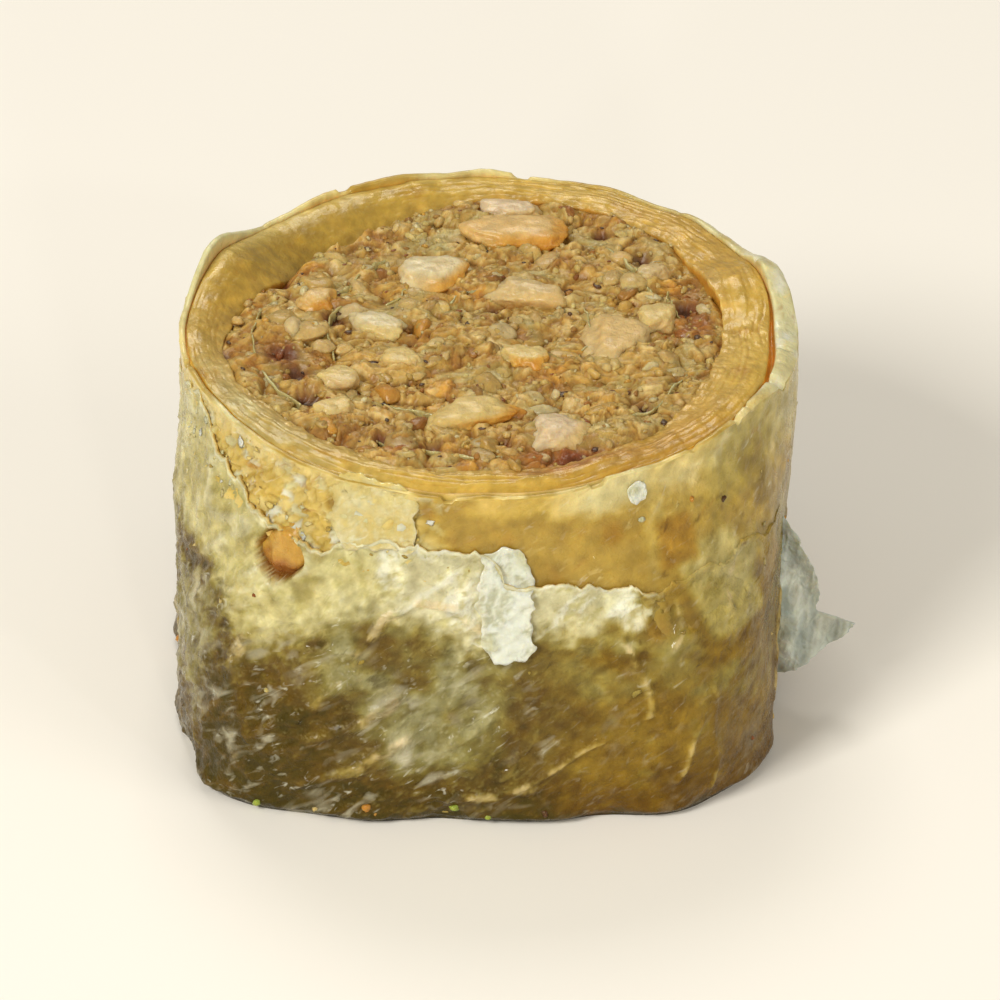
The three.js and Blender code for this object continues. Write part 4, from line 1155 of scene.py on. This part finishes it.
# The paste of ground walnut
paste = {
    "cells": 280,
    "sunk": 0.55,
    "swell": 0.3,
    "rough": 0.42,
    "lumps": ((2.8, 0.34, 3), (1.4, 0.2, 9), (0.6, 0.08, 15)),      # size, height, seed
    "chips": ((1.7, 0.24, 3), (0.75, 0.13, 9)),
    "crevice": 0.3,
    "holes": (               # x, y, radius, depth of the dark pits
        (-13.9, 6.9, 0.8, 1.0), (-0.2, 16.0, 0.7, 0.9), (-11.8, -7.9, 1.0, 1.2), (10.5, -9.1, 0.8, 1.0),
        (-13.6, -2.5, 1.2, 0.8), (-12.6, -4.6, 0.8, 0.9), (13.6, 3.1, 0.9, 0.9), (6.2, -15.6, 1.2, 0.6),
        (-3.6, -14.2, 0.7, 0.9), (1.2, -13.9, 0.6, 1.0), (10.6, 9.6, 0.8, 0.8), (-6.8, -13.3, 0.6, 0.8),
        (10.9, -0.9, 0.5, 0.8), (-10.2, 2.0, 0.8, 0.7), (0.5, 3.3, 0.5, 0.7), (7.9, 13.0, 0.6, 0.8),
    ),
    "crackAndCreaseShade": (-7.2, -0.3, -8.3, 0.3, 0.8),      # x from, x to, y, half width, depth
    "swirl": (0.86, -0.33, 2.1),                # share of the radius at the start, change per turn, turns
    "backDip": (138, 62),                       # angle and spread of where the paste dips to the wall
    "brownSpots": (          # x, y, radius, drawn out in x and y, strength, as in the next two
        (-13.4, -2.86, 2.8, 1, 1.3, 1), (13.6, 3.08, 1.5, 1, 1.4, 1), (-9.5, 2.4, 1.8, 1, 1, 1),
        (-10.0, -12.6, 1.6, 2, 1, 1), (16.8, -8.8, 1.4, 2, 1, 1),
    ),
    "redSpots": ((5.72, -15.2, 1.9, 2.2, 1, 1), (-5.2, -14.4, 0.9, 2, 1, 1), (14.2, 1.0, 1.3, 1, 1, 1)),
    "orangeSpots": ((6.24, -15.9, 1.2, 2.4, 1, 1), (-4.2, -14.6, 0.9, 3, 1, 0.5), (12.6, 5.6, 1.2, 1, 1, 1)),
    "colours": {
        "meal": (188, 156, 98), "mealPale": (214, 188, 132), "mealGrey": (172, 156, 106),
        "mealBrown": (146, 104, 54), "hollowShade": (98, 62, 28), "mealRed": (140, 84, 36), "maroon": (78, 36, 26),
        "mealOrange": (200, 138, 62), "swirlGrey": (168, 158, 112),
    },
}
colours.update(paste["colours"])
makeRoll()


def fillingRadius(angle, z):      # reaches just into the wall
    return innerRadius(angle, z) + roll["insideOverlap"]


def discGrid(cells):      # square rings of cells drawn out to round ones: share of the radius, and angle
    v, u = np.meshgrid(np.linspace(-1, 1, cells + 1), np.linspace(-1, 1, cells + 1), indexing="ij")
    distance = np.maximum(np.abs(u), np.abs(v))
    safeU, safeV = np.where(u == 0, 1e-9, u), np.where(v == 0, 1e-9, v)
    turn = np.where(np.abs(v) > np.abs(u), 2 * np.sign(v) - u / safeV, v / safeU + np.where(u < 0, 4, 0))
    return distance, turn * math.pi / 4


def borderOf(index):      # the border of a square grid of point numbers, once round
    return np.concatenate([index[0, :-1], index[:-1, -1], index[-1, :0:-1], index[:0:-1, 0]])


def swirlLine(x, y):
    # 1 on the soft bands where a sheet winds into the filling, with breaks, and on smooth patches
    angle = np.arctan2(y, x)
    share = np.hypot(x, y) / (fillingRadius(angle, cut) + 1e-6)
    start, step, turns = paste["swirl"]
    share = share + 0.05 * fractal(x / 5, y / 5, 4.4)
    turn = np.mod((share - start) / step - angle / fullTurn, 1)
    nearness = np.exp(-((np.minimum(turn, 1 - turn) * abs(step) * 17) / 0.7) ** 2)
    broken = smooth(0.6 + 1.5 * fractal(x / 3.4 + 9, y / 3.4, 8.1))
    line = nearness * band(share, start + step * turns, start, 0.06) * broken
    return clamp(line + smooth(2.2 * fractal(x / 3.6 + 3, y / 2.3, 5.7) - 0.35))


def meal(x, y):
    # rounded lumps at three sizes and tilted chips at two, on a bent plane: height, creases, and a shade
    # for each chip
    bentX = x + 0.4 * unevenness(x / 1.2, y / 1.0, 41) + 0.15 * unevenness(x / 0.45, y / 0.4, 43)
    bentY = y + 0.4 * unevenness(x / 1.2, y / 1.0, 47) + 0.15 * unevenness(x / 0.45, y / 0.4, 49)
    height, creases, shades = -0.35, 0.0, []
    for size, tall, seed in paste["lumps"]:
        wave = np.abs(unevenness(bentX / size, bentY / (0.78 * size), seed * 1.37))
        height = height + tall * (2.2 * wave) ** 0.7
        creases = creases + tall * (1 - smooth(wave / 0.16))
    for size, tall, seed in paste["chips"]:
        chip, gap, shade = chipped(bentX, bentY * 1.2, size, seed)
        height = height + tall * chip
        creases = creases + 0.7 * tall * gap
        shades.append(shade)
    return height, creases, shades


def pasteHeight(x, y):      # the solids' own swell and roughness, plus meal, pits and the crack
    swell = paste["swell"] * unevenness(x / 4.5, y / 3, 1)
    rough = 0.6 * paste["rough"] * unevenness(x / 1.7, y / 1.3, 6)
    bumps, creases, _ = meal(x, y)
    plain = 1 - 0.7 * swirlLine(x, y)
    height = cut - paste["sunk"] + 0.12 + swell + (rough + bumps - paste["crevice"] * creases) * plain
    for holeX, holeY, radius, depth in paste["holes"]:
        height = height - depth * spotAt(x, y, holeX, holeY, radius)
    fromX, toX, crackY, half, depth = paste["crackAndCreaseShade"]
    wander = crackY + 0.35 * unevenness(x / 1.5, 3.3, 1)
    return height - depth * np.exp(-((y - wander) / half) ** 2) * band(x, fromX, toX, 1.2)


def pasteTint(x, y, height):      # broad patches, a shade for each chip, painted highlights on lump tops, painted shade in creases and low places, and dark pits and holes
    broad = fractal(x / 3.4, y / 2.4, 14.5)
    other = fractal(x / 2.7 + 8, y / 2.0, 18.5)
    grit = fractal(x / 0.6, y / 0.5, 22.5)
    bumps, creases, (large, small) = meal(x, y)
    mean = cut - paste["sunk"]
    swirl = swirlLine(x, y)
    holes = sum(spotAt(x, y, *hole[:3]) for hole in paste["holes"])
    tint = tinted(
        "meal",
        ("mealGrey", smooth(1.8 * broad + 0.3) * 0.85),
        ("mealBrown", smooth(1.8 * other - 0.3) * 0.6),
        ("mealOrange", smooth(-1.6 * other - 0.45) * 0.3),
        ("mealPale", smooth((large - 0.62) * 4) * 0.45),
        ("mealOrange", smooth((0.14 - large) * 8) * 0.45),
        ("mealPale", smooth((small - 0.75) * 5) * 0.6),
        ("mealBrown", smooth((0.2 - small) * 6) * 0.5),
        # painted highlight on the lumps' tops
        ("mealPale", smooth(bumps * 1.4 - 0.1) * 0.35),
        ("mealBrown", clamp(spotsAt(x, y, paste["brownSpots"])) * 0.65),
        ("mealOrange", clamp(spotsAt(x, y, paste["orangeSpots"])) * 0.7),
        ("mealRed", clamp(spotsAt(x, y, paste["redSpots"])) * 0.85),
        ("swirlGrey", swirl * 0.65),
        # painted shade in the creases between lumps and chips
        ("mealBrown", clamp(creases * 2.6) * 0.75 * (1 - 0.6 * swirl)),
        # painted shade where the paste lies low
        ("hollowShade", smooth((mean - 0.32 - height) / 0.5) * 0.8),
        ("maroon", clamp(holes) * 0.6),
    )
    return tint * (1 + 0.14 * grit)[..., None]


def makePaste():
    # a disc of square rings drawn out round for the top, half as many for the underside, and a wall
    # between their rims
    ringShare, angle = discGrid(paste["cells"])
    radius = ringShare * fillingRadius(angle, cut)
    x, y = radius * np.cos(angle), radius * np.sin(angle)
    atWall = smooth((ringShare * 17 - 16.1) / 0.9)
    height = mixed(pasteHeight(x, y), cut - 0.7 - 1.3 * hill(angle, *paste["backDip"]), atWall)
    tint = tinted(pasteTint(x, y, height), ("ringDark", atWall * 0.5))
    n, m = paste["cells"] + 1, paste["cells"] // 2 + 1
    baseShare, baseAngle = discGrid(m - 1)
    baseRadius = baseShare * fillingRadius(baseAngle, 0.0)
    baseX, baseY = baseRadius * np.cos(baseAngle), baseRadius * np.sin(baseAngle)
    otherX = baseX + 60                               # so that the two faces differ
    bumps, creases, _ = meal(otherX, baseY)
    baseHeight = clamp(0.2 - 0.4 * bumps + 0.5 * creases, 0.0, 1)
    baseTint = pasteTint(otherX, baseY, cut - paste["sunk"] + 0 * baseX)

    rim = borderOf(np.arange(n * n).reshape(n, n))
    foot = borderOf(np.arange(m * m).reshape(m, m) + n * n)
    even = np.arange(len(foot))
    a, b, c = rim[2 * even], rim[2 * even + 1], rim[(2 * even + 2) % len(rim)]
    after = foot[(even + 1) % len(foot)]
    sides = np.concatenate([np.stack(corners, -1)
                            for corners in ((a, foot, b), (b, foot, after), (b, after, c))])
    points = np.concatenate([np.stack(grid, -1).reshape(-1, 3)
                             for grid in ((x, y, height), (baseX, baseY, baseHeight))])
    tints = np.concatenate([tint.reshape(-1, 3), baseTint.reshape(-1, 3)])
    faces = [gridFaces(n, n), gridFaces(m, m)[:, ::-1] + n * n, sides]
    addPiece("walnutPaste", points, faces, tints, 0.5, materials["walnutPaste"], "walnut", "walnut_filling")


makePaste()

# Nut pieces, from the large ones that the solids have to crumbs
nuts = {
    "large": (      # x, y, length, width, turn, face colour, edge colour
        (2.2, 12.9, 7.4, 4.2, -5, "nutPeach", "nutOrange"),
        (-0.5, -10.4, 7.4, 3.8, 16, "nutLemon", "nutOrange"),
        (8.6, -0.9, 4.8, 6.6, 0, "nutTan", "nutGreige"),
        (-3.3, 7.5, 4.7, 4.6, 12, "nutCream", "nutOrange"),
        (2.6, 5.3, 5.8, 3.6, -8, "nutGreige", "nutTan"),
        (4.8, -12.6, 4.8, 4.2, 20, "nutPink", "nutTan"),
        (1.9, 15.5, 4.8, 2.3, 0, "nutPink", "nutTan"),
        (-7.2, 0.8, 4.4, 2.3, -38, "nutCream", "nutLemon"),
        (11.6, 1.5, 3.4, 2.6, 15, "nutLemon", "nutTan"),
        (2.7, -3.1, 3.4, 2.8, -20, "nutLemon", "nutOrange"),
        (-5.6, -3.5, 3.4, 2.3, -35, "nutLemon", "nutTan"),
        (-9.9, -9.7, 3.0, 2.5, 30, "nutLemon", "nutTan"),
        (-9.9, -5.6, 3.2, 2.2, -15, "nutLemon", "nutGreige"),
        (-11.5, 3.9, 3.4, 2.4, 10, "nutTan", "nutOrange"),
        (11.5, 7.4, 3.0, 2.4, 60, "nutGreige", "nutTan"),
    ),
    "largeHeight": 2.4,
    "seed": 11,
    "colours": {
        "nutCream": (206, 192, 154), "nutPeach": (206, 174, 120), "nutLemon": (204, 180, 122),
        "nutTan": (204, 174, 120), "nutGreige": (196, 172, 126), "nutPink": (206, 184, 150),
        "nutOrange": (198, 140, 64), "nutBrown": (142, 92, 44), "nutSkin": (92, 56, 28),
        "pistachio": (146, 158, 78), "pistachioDark": (110, 126, 56),
    },
}
colours.update(nuts["colours"])


def chunks(place, size, turn, rows, cols, random, slices=None, flatten=0.12, facets=9, sharpness=9,
           square=2.0):
    # each chunk is a rounded polyhedron: the radius in a direction is held in by a few random planes,
    # stretched to its size, turned, and pressed flat above its slice height
    count = len(place)
    lat = np.linspace(0, math.pi, rows + 1)[1:-1]
    lon = np.arange(cols) / cols * fullTurn
    latGrid, lonGrid = np.meshgrid(lat, lon, indexing="ij")
    ringWays = np.stack([np.sin(latGrid) * np.cos(lonGrid), np.sin(latGrid) * np.sin(lonGrid),
                         -np.cos(latGrid)], -1)
    ways = np.concatenate([[[0, 0, -1.0]], ringWays.reshape(-1, 3), [[0, 0, 1.0]]])
    planes = random.normal(size=(count, facets, 3))
    planes /= np.linalg.norm(planes, axis=-1, keepdims=True)
    depth = random.uniform(0.72, 1.12, (count, facets))
    reach = np.maximum(np.einsum("nkc,dc->nkd", planes, ways), 0) / depth[..., None]
    limit = (np.abs(ways) ** square).sum(1) ** (-1 / square) * 1.08      # a ball, or boxier with more than 2
    radius = (limit ** -sharpness + (reach ** sharpness).sum(1)) ** (-1 / sharpness)
    seeds = random.uniform(0, 90, (count, 1))
    dents = sum(depth * unevenness(ways[:, 0] * finer + seeds, ways[:, 1] * finer, ways[:, 2] * finer)
                for depth, finer in ((0.16, 1.7), (0.1, 4.5)))
    radius = radius * (1 + dents)
    local = ways[None] * radius[..., None] * size[:, None] / 2
    c, s = np.cos(turn)[:, None], np.sin(turn)[:, None]
    x = local[..., 0] * c - local[..., 1] * s + place[:, None, 0]
    y = local[..., 0] * s + local[..., 1] * c + place[:, None, 1]
    z = local[..., 2] + place[:, None, 2]
    if slices is not None:
        over = z - slices[:, None]
        z = np.where(over > 0, slices[:, None] + over * flatten, z)
    j = np.arange(cols)
    after = (j + 1) % cols
    last = (rows - 2) * cols + 1                      # first point of the highest ring
    quads = gridFaces(rows - 1, cols, closeCols=True) + 1
    lowFan = np.stack([0 * j, after + 1, j + 1], -1)
    highFan = np.stack([0 * j + len(ways) - 1, last + j, last + after], -1)
    starts = (np.arange(count) * len(ways))[:, None, None]
    faces = [(quads + starts).reshape(-1, 4), (np.concatenate([lowFan, highFan]) + starts).reshape(-1, 3)]
    return np.stack([x, y, z], -1), faces, ways


def inLargeNut(x, y, grow=0.9):      # whether a point of the cut face is under one of the large nuts
    inside = np.zeros(np.shape(x), bool)
    for nutX, nutY, length, width, turn in (nut[:5] for nut in nuts["large"]):
        c, s = math.cos(math.radians(turn)), math.sin(math.radians(turn))
        across = ((x - nutX) * c + (y - nutY) * s) / (length / 2)
        along = (-(x - nutX) * s + (y - nutY) * c) / (width / 2)
        inside |= across ** 2 + along ** 2 < grow ** 2
    return inside


def makeLargeNuts():
    # boxy chunks at the solids' places, cut nearly level, with the edge colour at their fronts
    random = np.random.default_rng(nuts["seed"])
    xs, ys, lengths, widths, turns, faceNames, edgeNames = zip(*nuts["large"])
    count = len(xs)
    place = np.stack([xs, ys, np.full(count, cut - 0.6)], -1)
    size = np.stack([lengths, widths, np.full(count, nuts["largeHeight"])], -1)
    slices = cut + 0.15 + 0.3 * latticeValue(np.arange(count), 3, 9)
    points, faces, ways = chunks(place, size, np.radians(turns), 40, 60, random, slices, 0.2, 12, 7, 2.4)
    face, edge = (np.array([colours[n] for n in names], float)[:, None] for names in (faceNames, edgeNames))
    x, y, z = points[..., 0], points[..., 1], points[..., 2]
    outer = smooth((np.hypot(ways[:, 0], ways[:, 1]) - 0.5) * 2.4)
    towardFront = smooth(0.2 + 0.75 * ways[:, 0] - 0.65 * ways[:, 1])
    patch = fractal(x / 1.3, y / 1.3, z / 1.3 + 2)
    tint = mixed(face, edge, clamp(outer * (0.15 + 0.75 * towardFront) + 0.35 * patch)[..., None])
    tint = tinted(tint, ("nutBrown", smooth((cut - 0.25 - z) / 0.7) * 0.6),
                  ("nutCream", smooth(patch - 0.15) * 0.35))
    points[..., 2] += 0.07 * fractal(x / 0.9, y / 0.9, 3.3)
    addPiece("largeNuts", points, faces, tint, 0.5, materials["nutMeat"], "walnut")


def scatter(random, count, margin, away):      # seeded sunflower places over the cut face, off the large nuts
    k = np.arange(count)
    angle = k * goldenTurn + random.uniform(-0.3, 0.3, count)
    room = innerRadius(angle, cut) + 0.3 - margin
    radius = room * np.sqrt((k + random.uniform(0.1, 0.9, count)) / count)
    x, y = radius * np.cos(angle), radius * np.sin(angle)
    keep = ~inLargeNut(x, y, away)
    return x[keep], y[keep]


def makeNutBits(name, bits):
    # seeded chunks sunk in the paste: length by a skewed draw, then width and height as shares of it
    random = np.random.default_rng(bits["seed"])
    x, y = scatter(random, bits["count"], bits["size"][1] * 0.4, bits["away"])
    n = len(x)
    length = mixed(*bits["size"], random.uniform(0, 1, n) ** 1.7)
    width = length * random.uniform(0.45, 0.85, n)
    height = length * random.uniform(*bits["flat"], n)
    z = pasteHeight(x, y) + bits["proud"] * height
    slices = cut + random.uniform(-0.25, 0.4, n)
    place, size = np.stack([x, y, z], -1), np.stack([length, width, height], -1)
    points, faces, _ = chunks(place, size, random.uniform(0, math.pi, n), *bits["grid"], random, slices,
                              0.3, 8, 16)
    base = pickTints(random, n, bits["names"], bits["weights"])
    base = mixed(base, pasteTint(x, y, z + 0.4), bits["blend"])[:, None]
    # painted shade on the under side of each chunk
    under = smooth((z[:, None] - points[..., 2]) / (height[:, None] * 0.5) + 0.4)
    tint = tinted(np.broadcast_to(base, points.shape), ("mealBrown", under * 0.5))
    addPiece(name, points, faces, tint, 0.45, materials["nutMeat"], "walnut")


makeLargeNuts()
mealNames = ("nutCream", "nutPeach", "nutLemon", "nutTan", "nutGreige", "nutOrange", "nutBrown", "mealBrown",
             "meal")
# size is shortest and longest, flat is height as a share of length, proud how high the middle lies
nutBits = {
    "mediumNuts": {
        "seed": 21, "count": 120, "size": (1.0, 2.7), "flat": (0.4, 0.7), "proud": -0.3, "grid": (16, 24),
        "away": 0.9, "blend": 0.35, "names": mealNames, "weights": (3, 2, 3, 4, 3, 1, 1, 1, 5),
    },
    "smallNuts": {
        "seed": 22, "count": 240, "size": (0.5, 1.4), "flat": (0.45, 0.8), "proud": -0.2, "grid": (9, 12),
        "away": 0.9, "blend": 0.35, "names": mealNames, "weights": (4, 2, 4, 4, 3, 1.2, 2, 2, 5),
    },
    "nutCrumbs": {
        "seed": 23, "count": 520, "size": (0.25, 0.8), "flat": (0.5, 0.9), "proud": -0.12, "grid": (4, 6),
        "away": 0.97, "blend": 0.35, "names": mealNames, "weights": (5, 1.5, 5, 4, 3, 1.2, 3, 3, 5),
    },
    "nutSkins": {
        "seed": 24, "count": 110, "size": (0.3, 0.9), "flat": (0.15, 0.35), "proud": 0.05, "grid": (5, 8),
        "away": 0.9, "blend": 0.0, "names": ("nutSkin", "maroon", "nutBrown"), "weights": (3, 1, 3),
    },
}
for name, bits in nutBits.items():
    makeNutBits(name, bits)

# Thin inner sheets that show edge-on in the filling
swirlSheets = {
    "thickness": 0.16,
    "depth": 1.2,
    "highest": 25.5,
    "arcs": (       # share of the radius, from and to angle, drift of the share, how far it stands proud
        (0.76, 118, 168, -0.10, 0.35), (0.54, 100, 150, -0.06, 0.3), (0.74, 20, 58, 0.02, 0.5),
        (0.80, 8, 24, 0.0, 0.5), (0.62, 150, 196, -0.05, 0.3), (0.42, -30, 28, 0.03, 0.3),
        (0.62, -128, -92, -0.04, 0.2), (0.84, -60, -20, 0.03, 0.3), (0.86, -118, -78, 0.02, 0.3),
        (0.34, 60, 130, -0.06, 0.3), (0.88, 160, 215, -0.02, 0.3),
    ),
}


def sheetRibbon(n, arc):      # a thin wavy wall along an arc: u along, v from root to free edge
    share, start, stop, drift, proud = arc
    u, v = np.meshgrid(np.linspace(0, 1, 90), np.linspace(0, 1, 9))
    angle = np.radians(mixed(start, stop, u))
    radius = fillingRadius(angle, cut) * (share + drift * u) + 0.35 * fractal(u * 7, n * 3.3, v * 0.8)
    ground = cut - paste["sunk"]
    top = ground + proud * smooth(np.minimum(u, 1 - u) * 5) * (0.8 + 0.9 * fractal(u * 11, n * 1.7, 0.5))
    z = mixed(ground - swirlSheets["depth"], np.minimum(top, swirlSheets["highest"]), v)
    radius = radius + 0.3 * unevenness(u * 6, n * 2.1, 3) * v
    half = swirlSheets["thickness"] / 2 * mixed(1, 0.6, v)
    tint = tinted("swirlGrey", ("leafCream", v * smooth(0.2 + fractal(u * 9, n, 2.2)) * 0.7),
                  ("mealGrey", 1 - v))
    return slab(around(radius + half, angle, z), around(radius - half, angle, z), tint, tint, 0.7)


ribbons = joined([sheetRibbon(n, arc) for n, arc in enumerate(swirlSheets["arcs"])])
addPiece("swirlSheets", *ribbons, materials["tornLeaf"], "phyllo")

# The dry shard on the right, its outline as reach past the side and height
shard = {
    "rootX": 18.3,
    "angle": -21,
    "buried": 1.2,
    "curl": 0.35,
    "thickness": 0.2,
    "reach": (0.8, 2.6, 4.7, 5.6, 2.9, 3.2, 2.7, 1.5, 0.2),
    "height": (1.8, 3.0, 4.5, 6.0, 6.7, 8.2, 10.3, 12.9, 15.2),
    "colours": {
        "shardBlue": (170, 180, 174), "shardPale": (200, 206, 196),
        # the first colour on the next line is painted shade for the pleats' valleys
        "shardPleatShade": (120, 134, 130), "shardOlive": (150, 146, 110),
    },
}
colours.update(shard["colours"])


def makeShard():      # a slab over u outward and v up, bent in a slow wave, with pleats that run up it
    u, v = np.meshgrid(np.linspace(0, 1, 60), np.linspace(0, 1, 130))
    knots = np.linspace(0, 1, len(shard["reach"]))
    reach = np.interp(v, knots, shard["reach"]) + shard["buried"]
    height = np.interp(v, knots, shard["height"])
    fray = 0.22 * fractal(v * 22, 3.1, 0.5) + 0.12 * unevenness(v * 60, 1.1, 2.5)
    out = u * (reach + fray * smooth((u - 0.5) * 2) * (reach > 1.6))
    height = height + 0.5 * unevenness(out / 0.9, 4.4, 2.2) * smooth(1 - v * 5)      # frayed foot
    rootY = shard["rootX"] * math.tan(math.radians(shard["angle"]))
    pleat = creased(out / 1.1, 5.5, height / 4.0) - 0.35
    middle = rootY + shard["curl"] * np.sin(out * 1.1 + height * 0.5)
    middle = middle + 0.14 * fractal(out / 1.2, height / 1.2, 7.7) - 0.3 * pleat
    half = shard["thickness"] / 2 * smooth(0.3 + (1 - u) * 3)
    x = shard["rootX"] + out
    wave = fractal(out / 1.2, height / 1.8, 5.5)
    tint = tinted(
        "shardBlue",
        # paler on the pleats' ridges, partly painted highlight, and painted shade in their valleys
        ("shardPale", smooth(0.2 + 1.2 * wave + 2 * pleat)),
        ("shardPleatShade", smooth(-3 * pleat - 0.2) * 0.5),
        ("shardOlive", smooth(1 - u * 2.0) * 0.8),
    )
    front, back = (np.stack([x, middle + side * half, height], -1) for side in (-1, 1))
    addPiece("drySideShard", *joined([slab(front, back, tint, tint, 0.6)]), materials["dryShard"], "phyllo")


makeShard()

# Nut in the sheet's hole, crumbs along the side, and nuts cut through on the underside
edgeBits = {
    "crumbs": (       # along the side, height, size, colour
        (-13.2, 0.6, 0.8, "pistachio"), (-1.9, 1.3, 0.9, "pistachio"), (0.2, 0.7, 0.7, "pistachio"),
        (-7.0, 1.4, 0.9, "nutOrange"), (3.6, 1.0, 0.7, "nutSkin"), (-10.0, 0.8, 0.6, "nutTan"),
        (22.0, 0.8, 1.0, "nutTan"), (35.0, 1.0, 1.1, "pistachioDark"), (-31.0, 0.9, 1.0, "nutOrange"),
        (-47.0, 1.1, 1.0, "pistachio"), (52.0, 0.8, 0.9, "nutTan"), (17.6, 20.4, 0.8, "nutSkin"),
        (15.0, 21.4, 0.7, "nutOrange"),
    ),
    "count": 34,             # more crumbs, at random places
    "seed": 37,
    "window": (2.4, 4.5, 1.35),      # thickness and width of the nut, how deep its middle lies
    "baseCount": 130,        # nuts that show in the underside
    "baseSeed": 41,
}


def makeEdgeBits():
    # small chunks a quarter sunk in the side, then one flat chunk behind the sheet's hole
    count = edgeBits["count"]
    random = np.random.default_rng(edgeBits["seed"])
    alongs, heights, sizes, names = zip(*edgeBits["crumbs"])
    along = np.concatenate([alongs, random.uniform(-65, 65, count)])
    z = np.concatenate([heights, random.uniform(0.5, 24, count)])
    size = np.concatenate([sizes, random.uniform(0.25, 0.6, count)])
    drawn = pickTints(random, count, ("nutOrange", "nutTan", "nutBrown", "nutLemon", "pistachio"),
                      (4, 4, 3, 2, 0.5))
    base = np.concatenate([[colours[name] for name in names], drawn])
    angle = angleFrom(along)
    place = around(skin(angle, z) - 0.25 * size, angle, z)
    shape = np.stack([size, size * 0.8, size * 0.7], -1)
    points, faces, _ = chunks(place, shape, angle, 8, 11, random, sharpness=14)
    points[..., 2] = np.maximum(points[..., 2], 0.02)
    tint = np.broadcast_to(base[:, None], points.shape) * random.uniform(0.9, 1.05, (len(z), 1, 1))
    addPiece("edgeCrumbs", points, faces, tint, 0.6, materials["nutMeat"], "walnut")

    holeAlong, holeZ, _ = outerSheet["window"]
    thick, wide, deep = edgeBits["window"]
    angle = np.array([angleFrom(holeAlong - 0.4)])
    place = around(sideRadius(angle, holeZ) - deep, angle, holeZ)
    points, faces, ways = chunks(place, np.array([[thick, wide, wide]]), angle, 30, 40, random, sharpness=12)
    patch = fractal(points[..., 0], points[..., 1], points[..., 2])
    tint = tinted(
        "nutOrange",
        ("film", 0.45 + 0 * patch),
        ("nutTan", 0.2 + smooth(0.1 + 1.5 * patch) * 0.4),
        # painted shade on the nut's lower side
        ("nutBrown", smooth(0.1 - 1.4 * ways[:, 2] + patch) * 0.8),
    )
    addPiece("windowNut", points, faces, tint, 0.8, materials["nutMeat"], "walnut")


def makeBaseNuts():      # chunks at sunflower places, cut level with the underside
    random = np.random.default_rng(edgeBits["baseSeed"])
    count = edgeBits["baseCount"]
    k = np.arange(count)
    angle = k * goldenTurn
    radius = (innerRadius(angle, 0.0) - 1.8) * np.sqrt((k + 0.5) / count)
    length = mixed(1.0, 4.6, random.uniform(0, 1, count) ** 2.2)
    size = np.stack([length, length * random.uniform(0.5, 0.9, count), np.minimum(length, 2.0)], -1)
    place = around(radius, angle, 0.35 * size[:, 2])
    points, faces, _ = chunks(place, size, random.uniform(0, math.pi, count), 12, 18, random)
    points[..., 2] = np.maximum(points[..., 2], 0.0)
    base = pickTints(random, count, mealNames, (3, 3, 3, 5, 3, 2, 1, 1, 3))[:, None]
    addPiece("baseNuts", points, faces, np.broadcast_to(base, points.shape), 0.4, materials["nutMeat"],
             "walnut")


makeEdgeBits()
makeBaseNuts()

print("all pieces made")
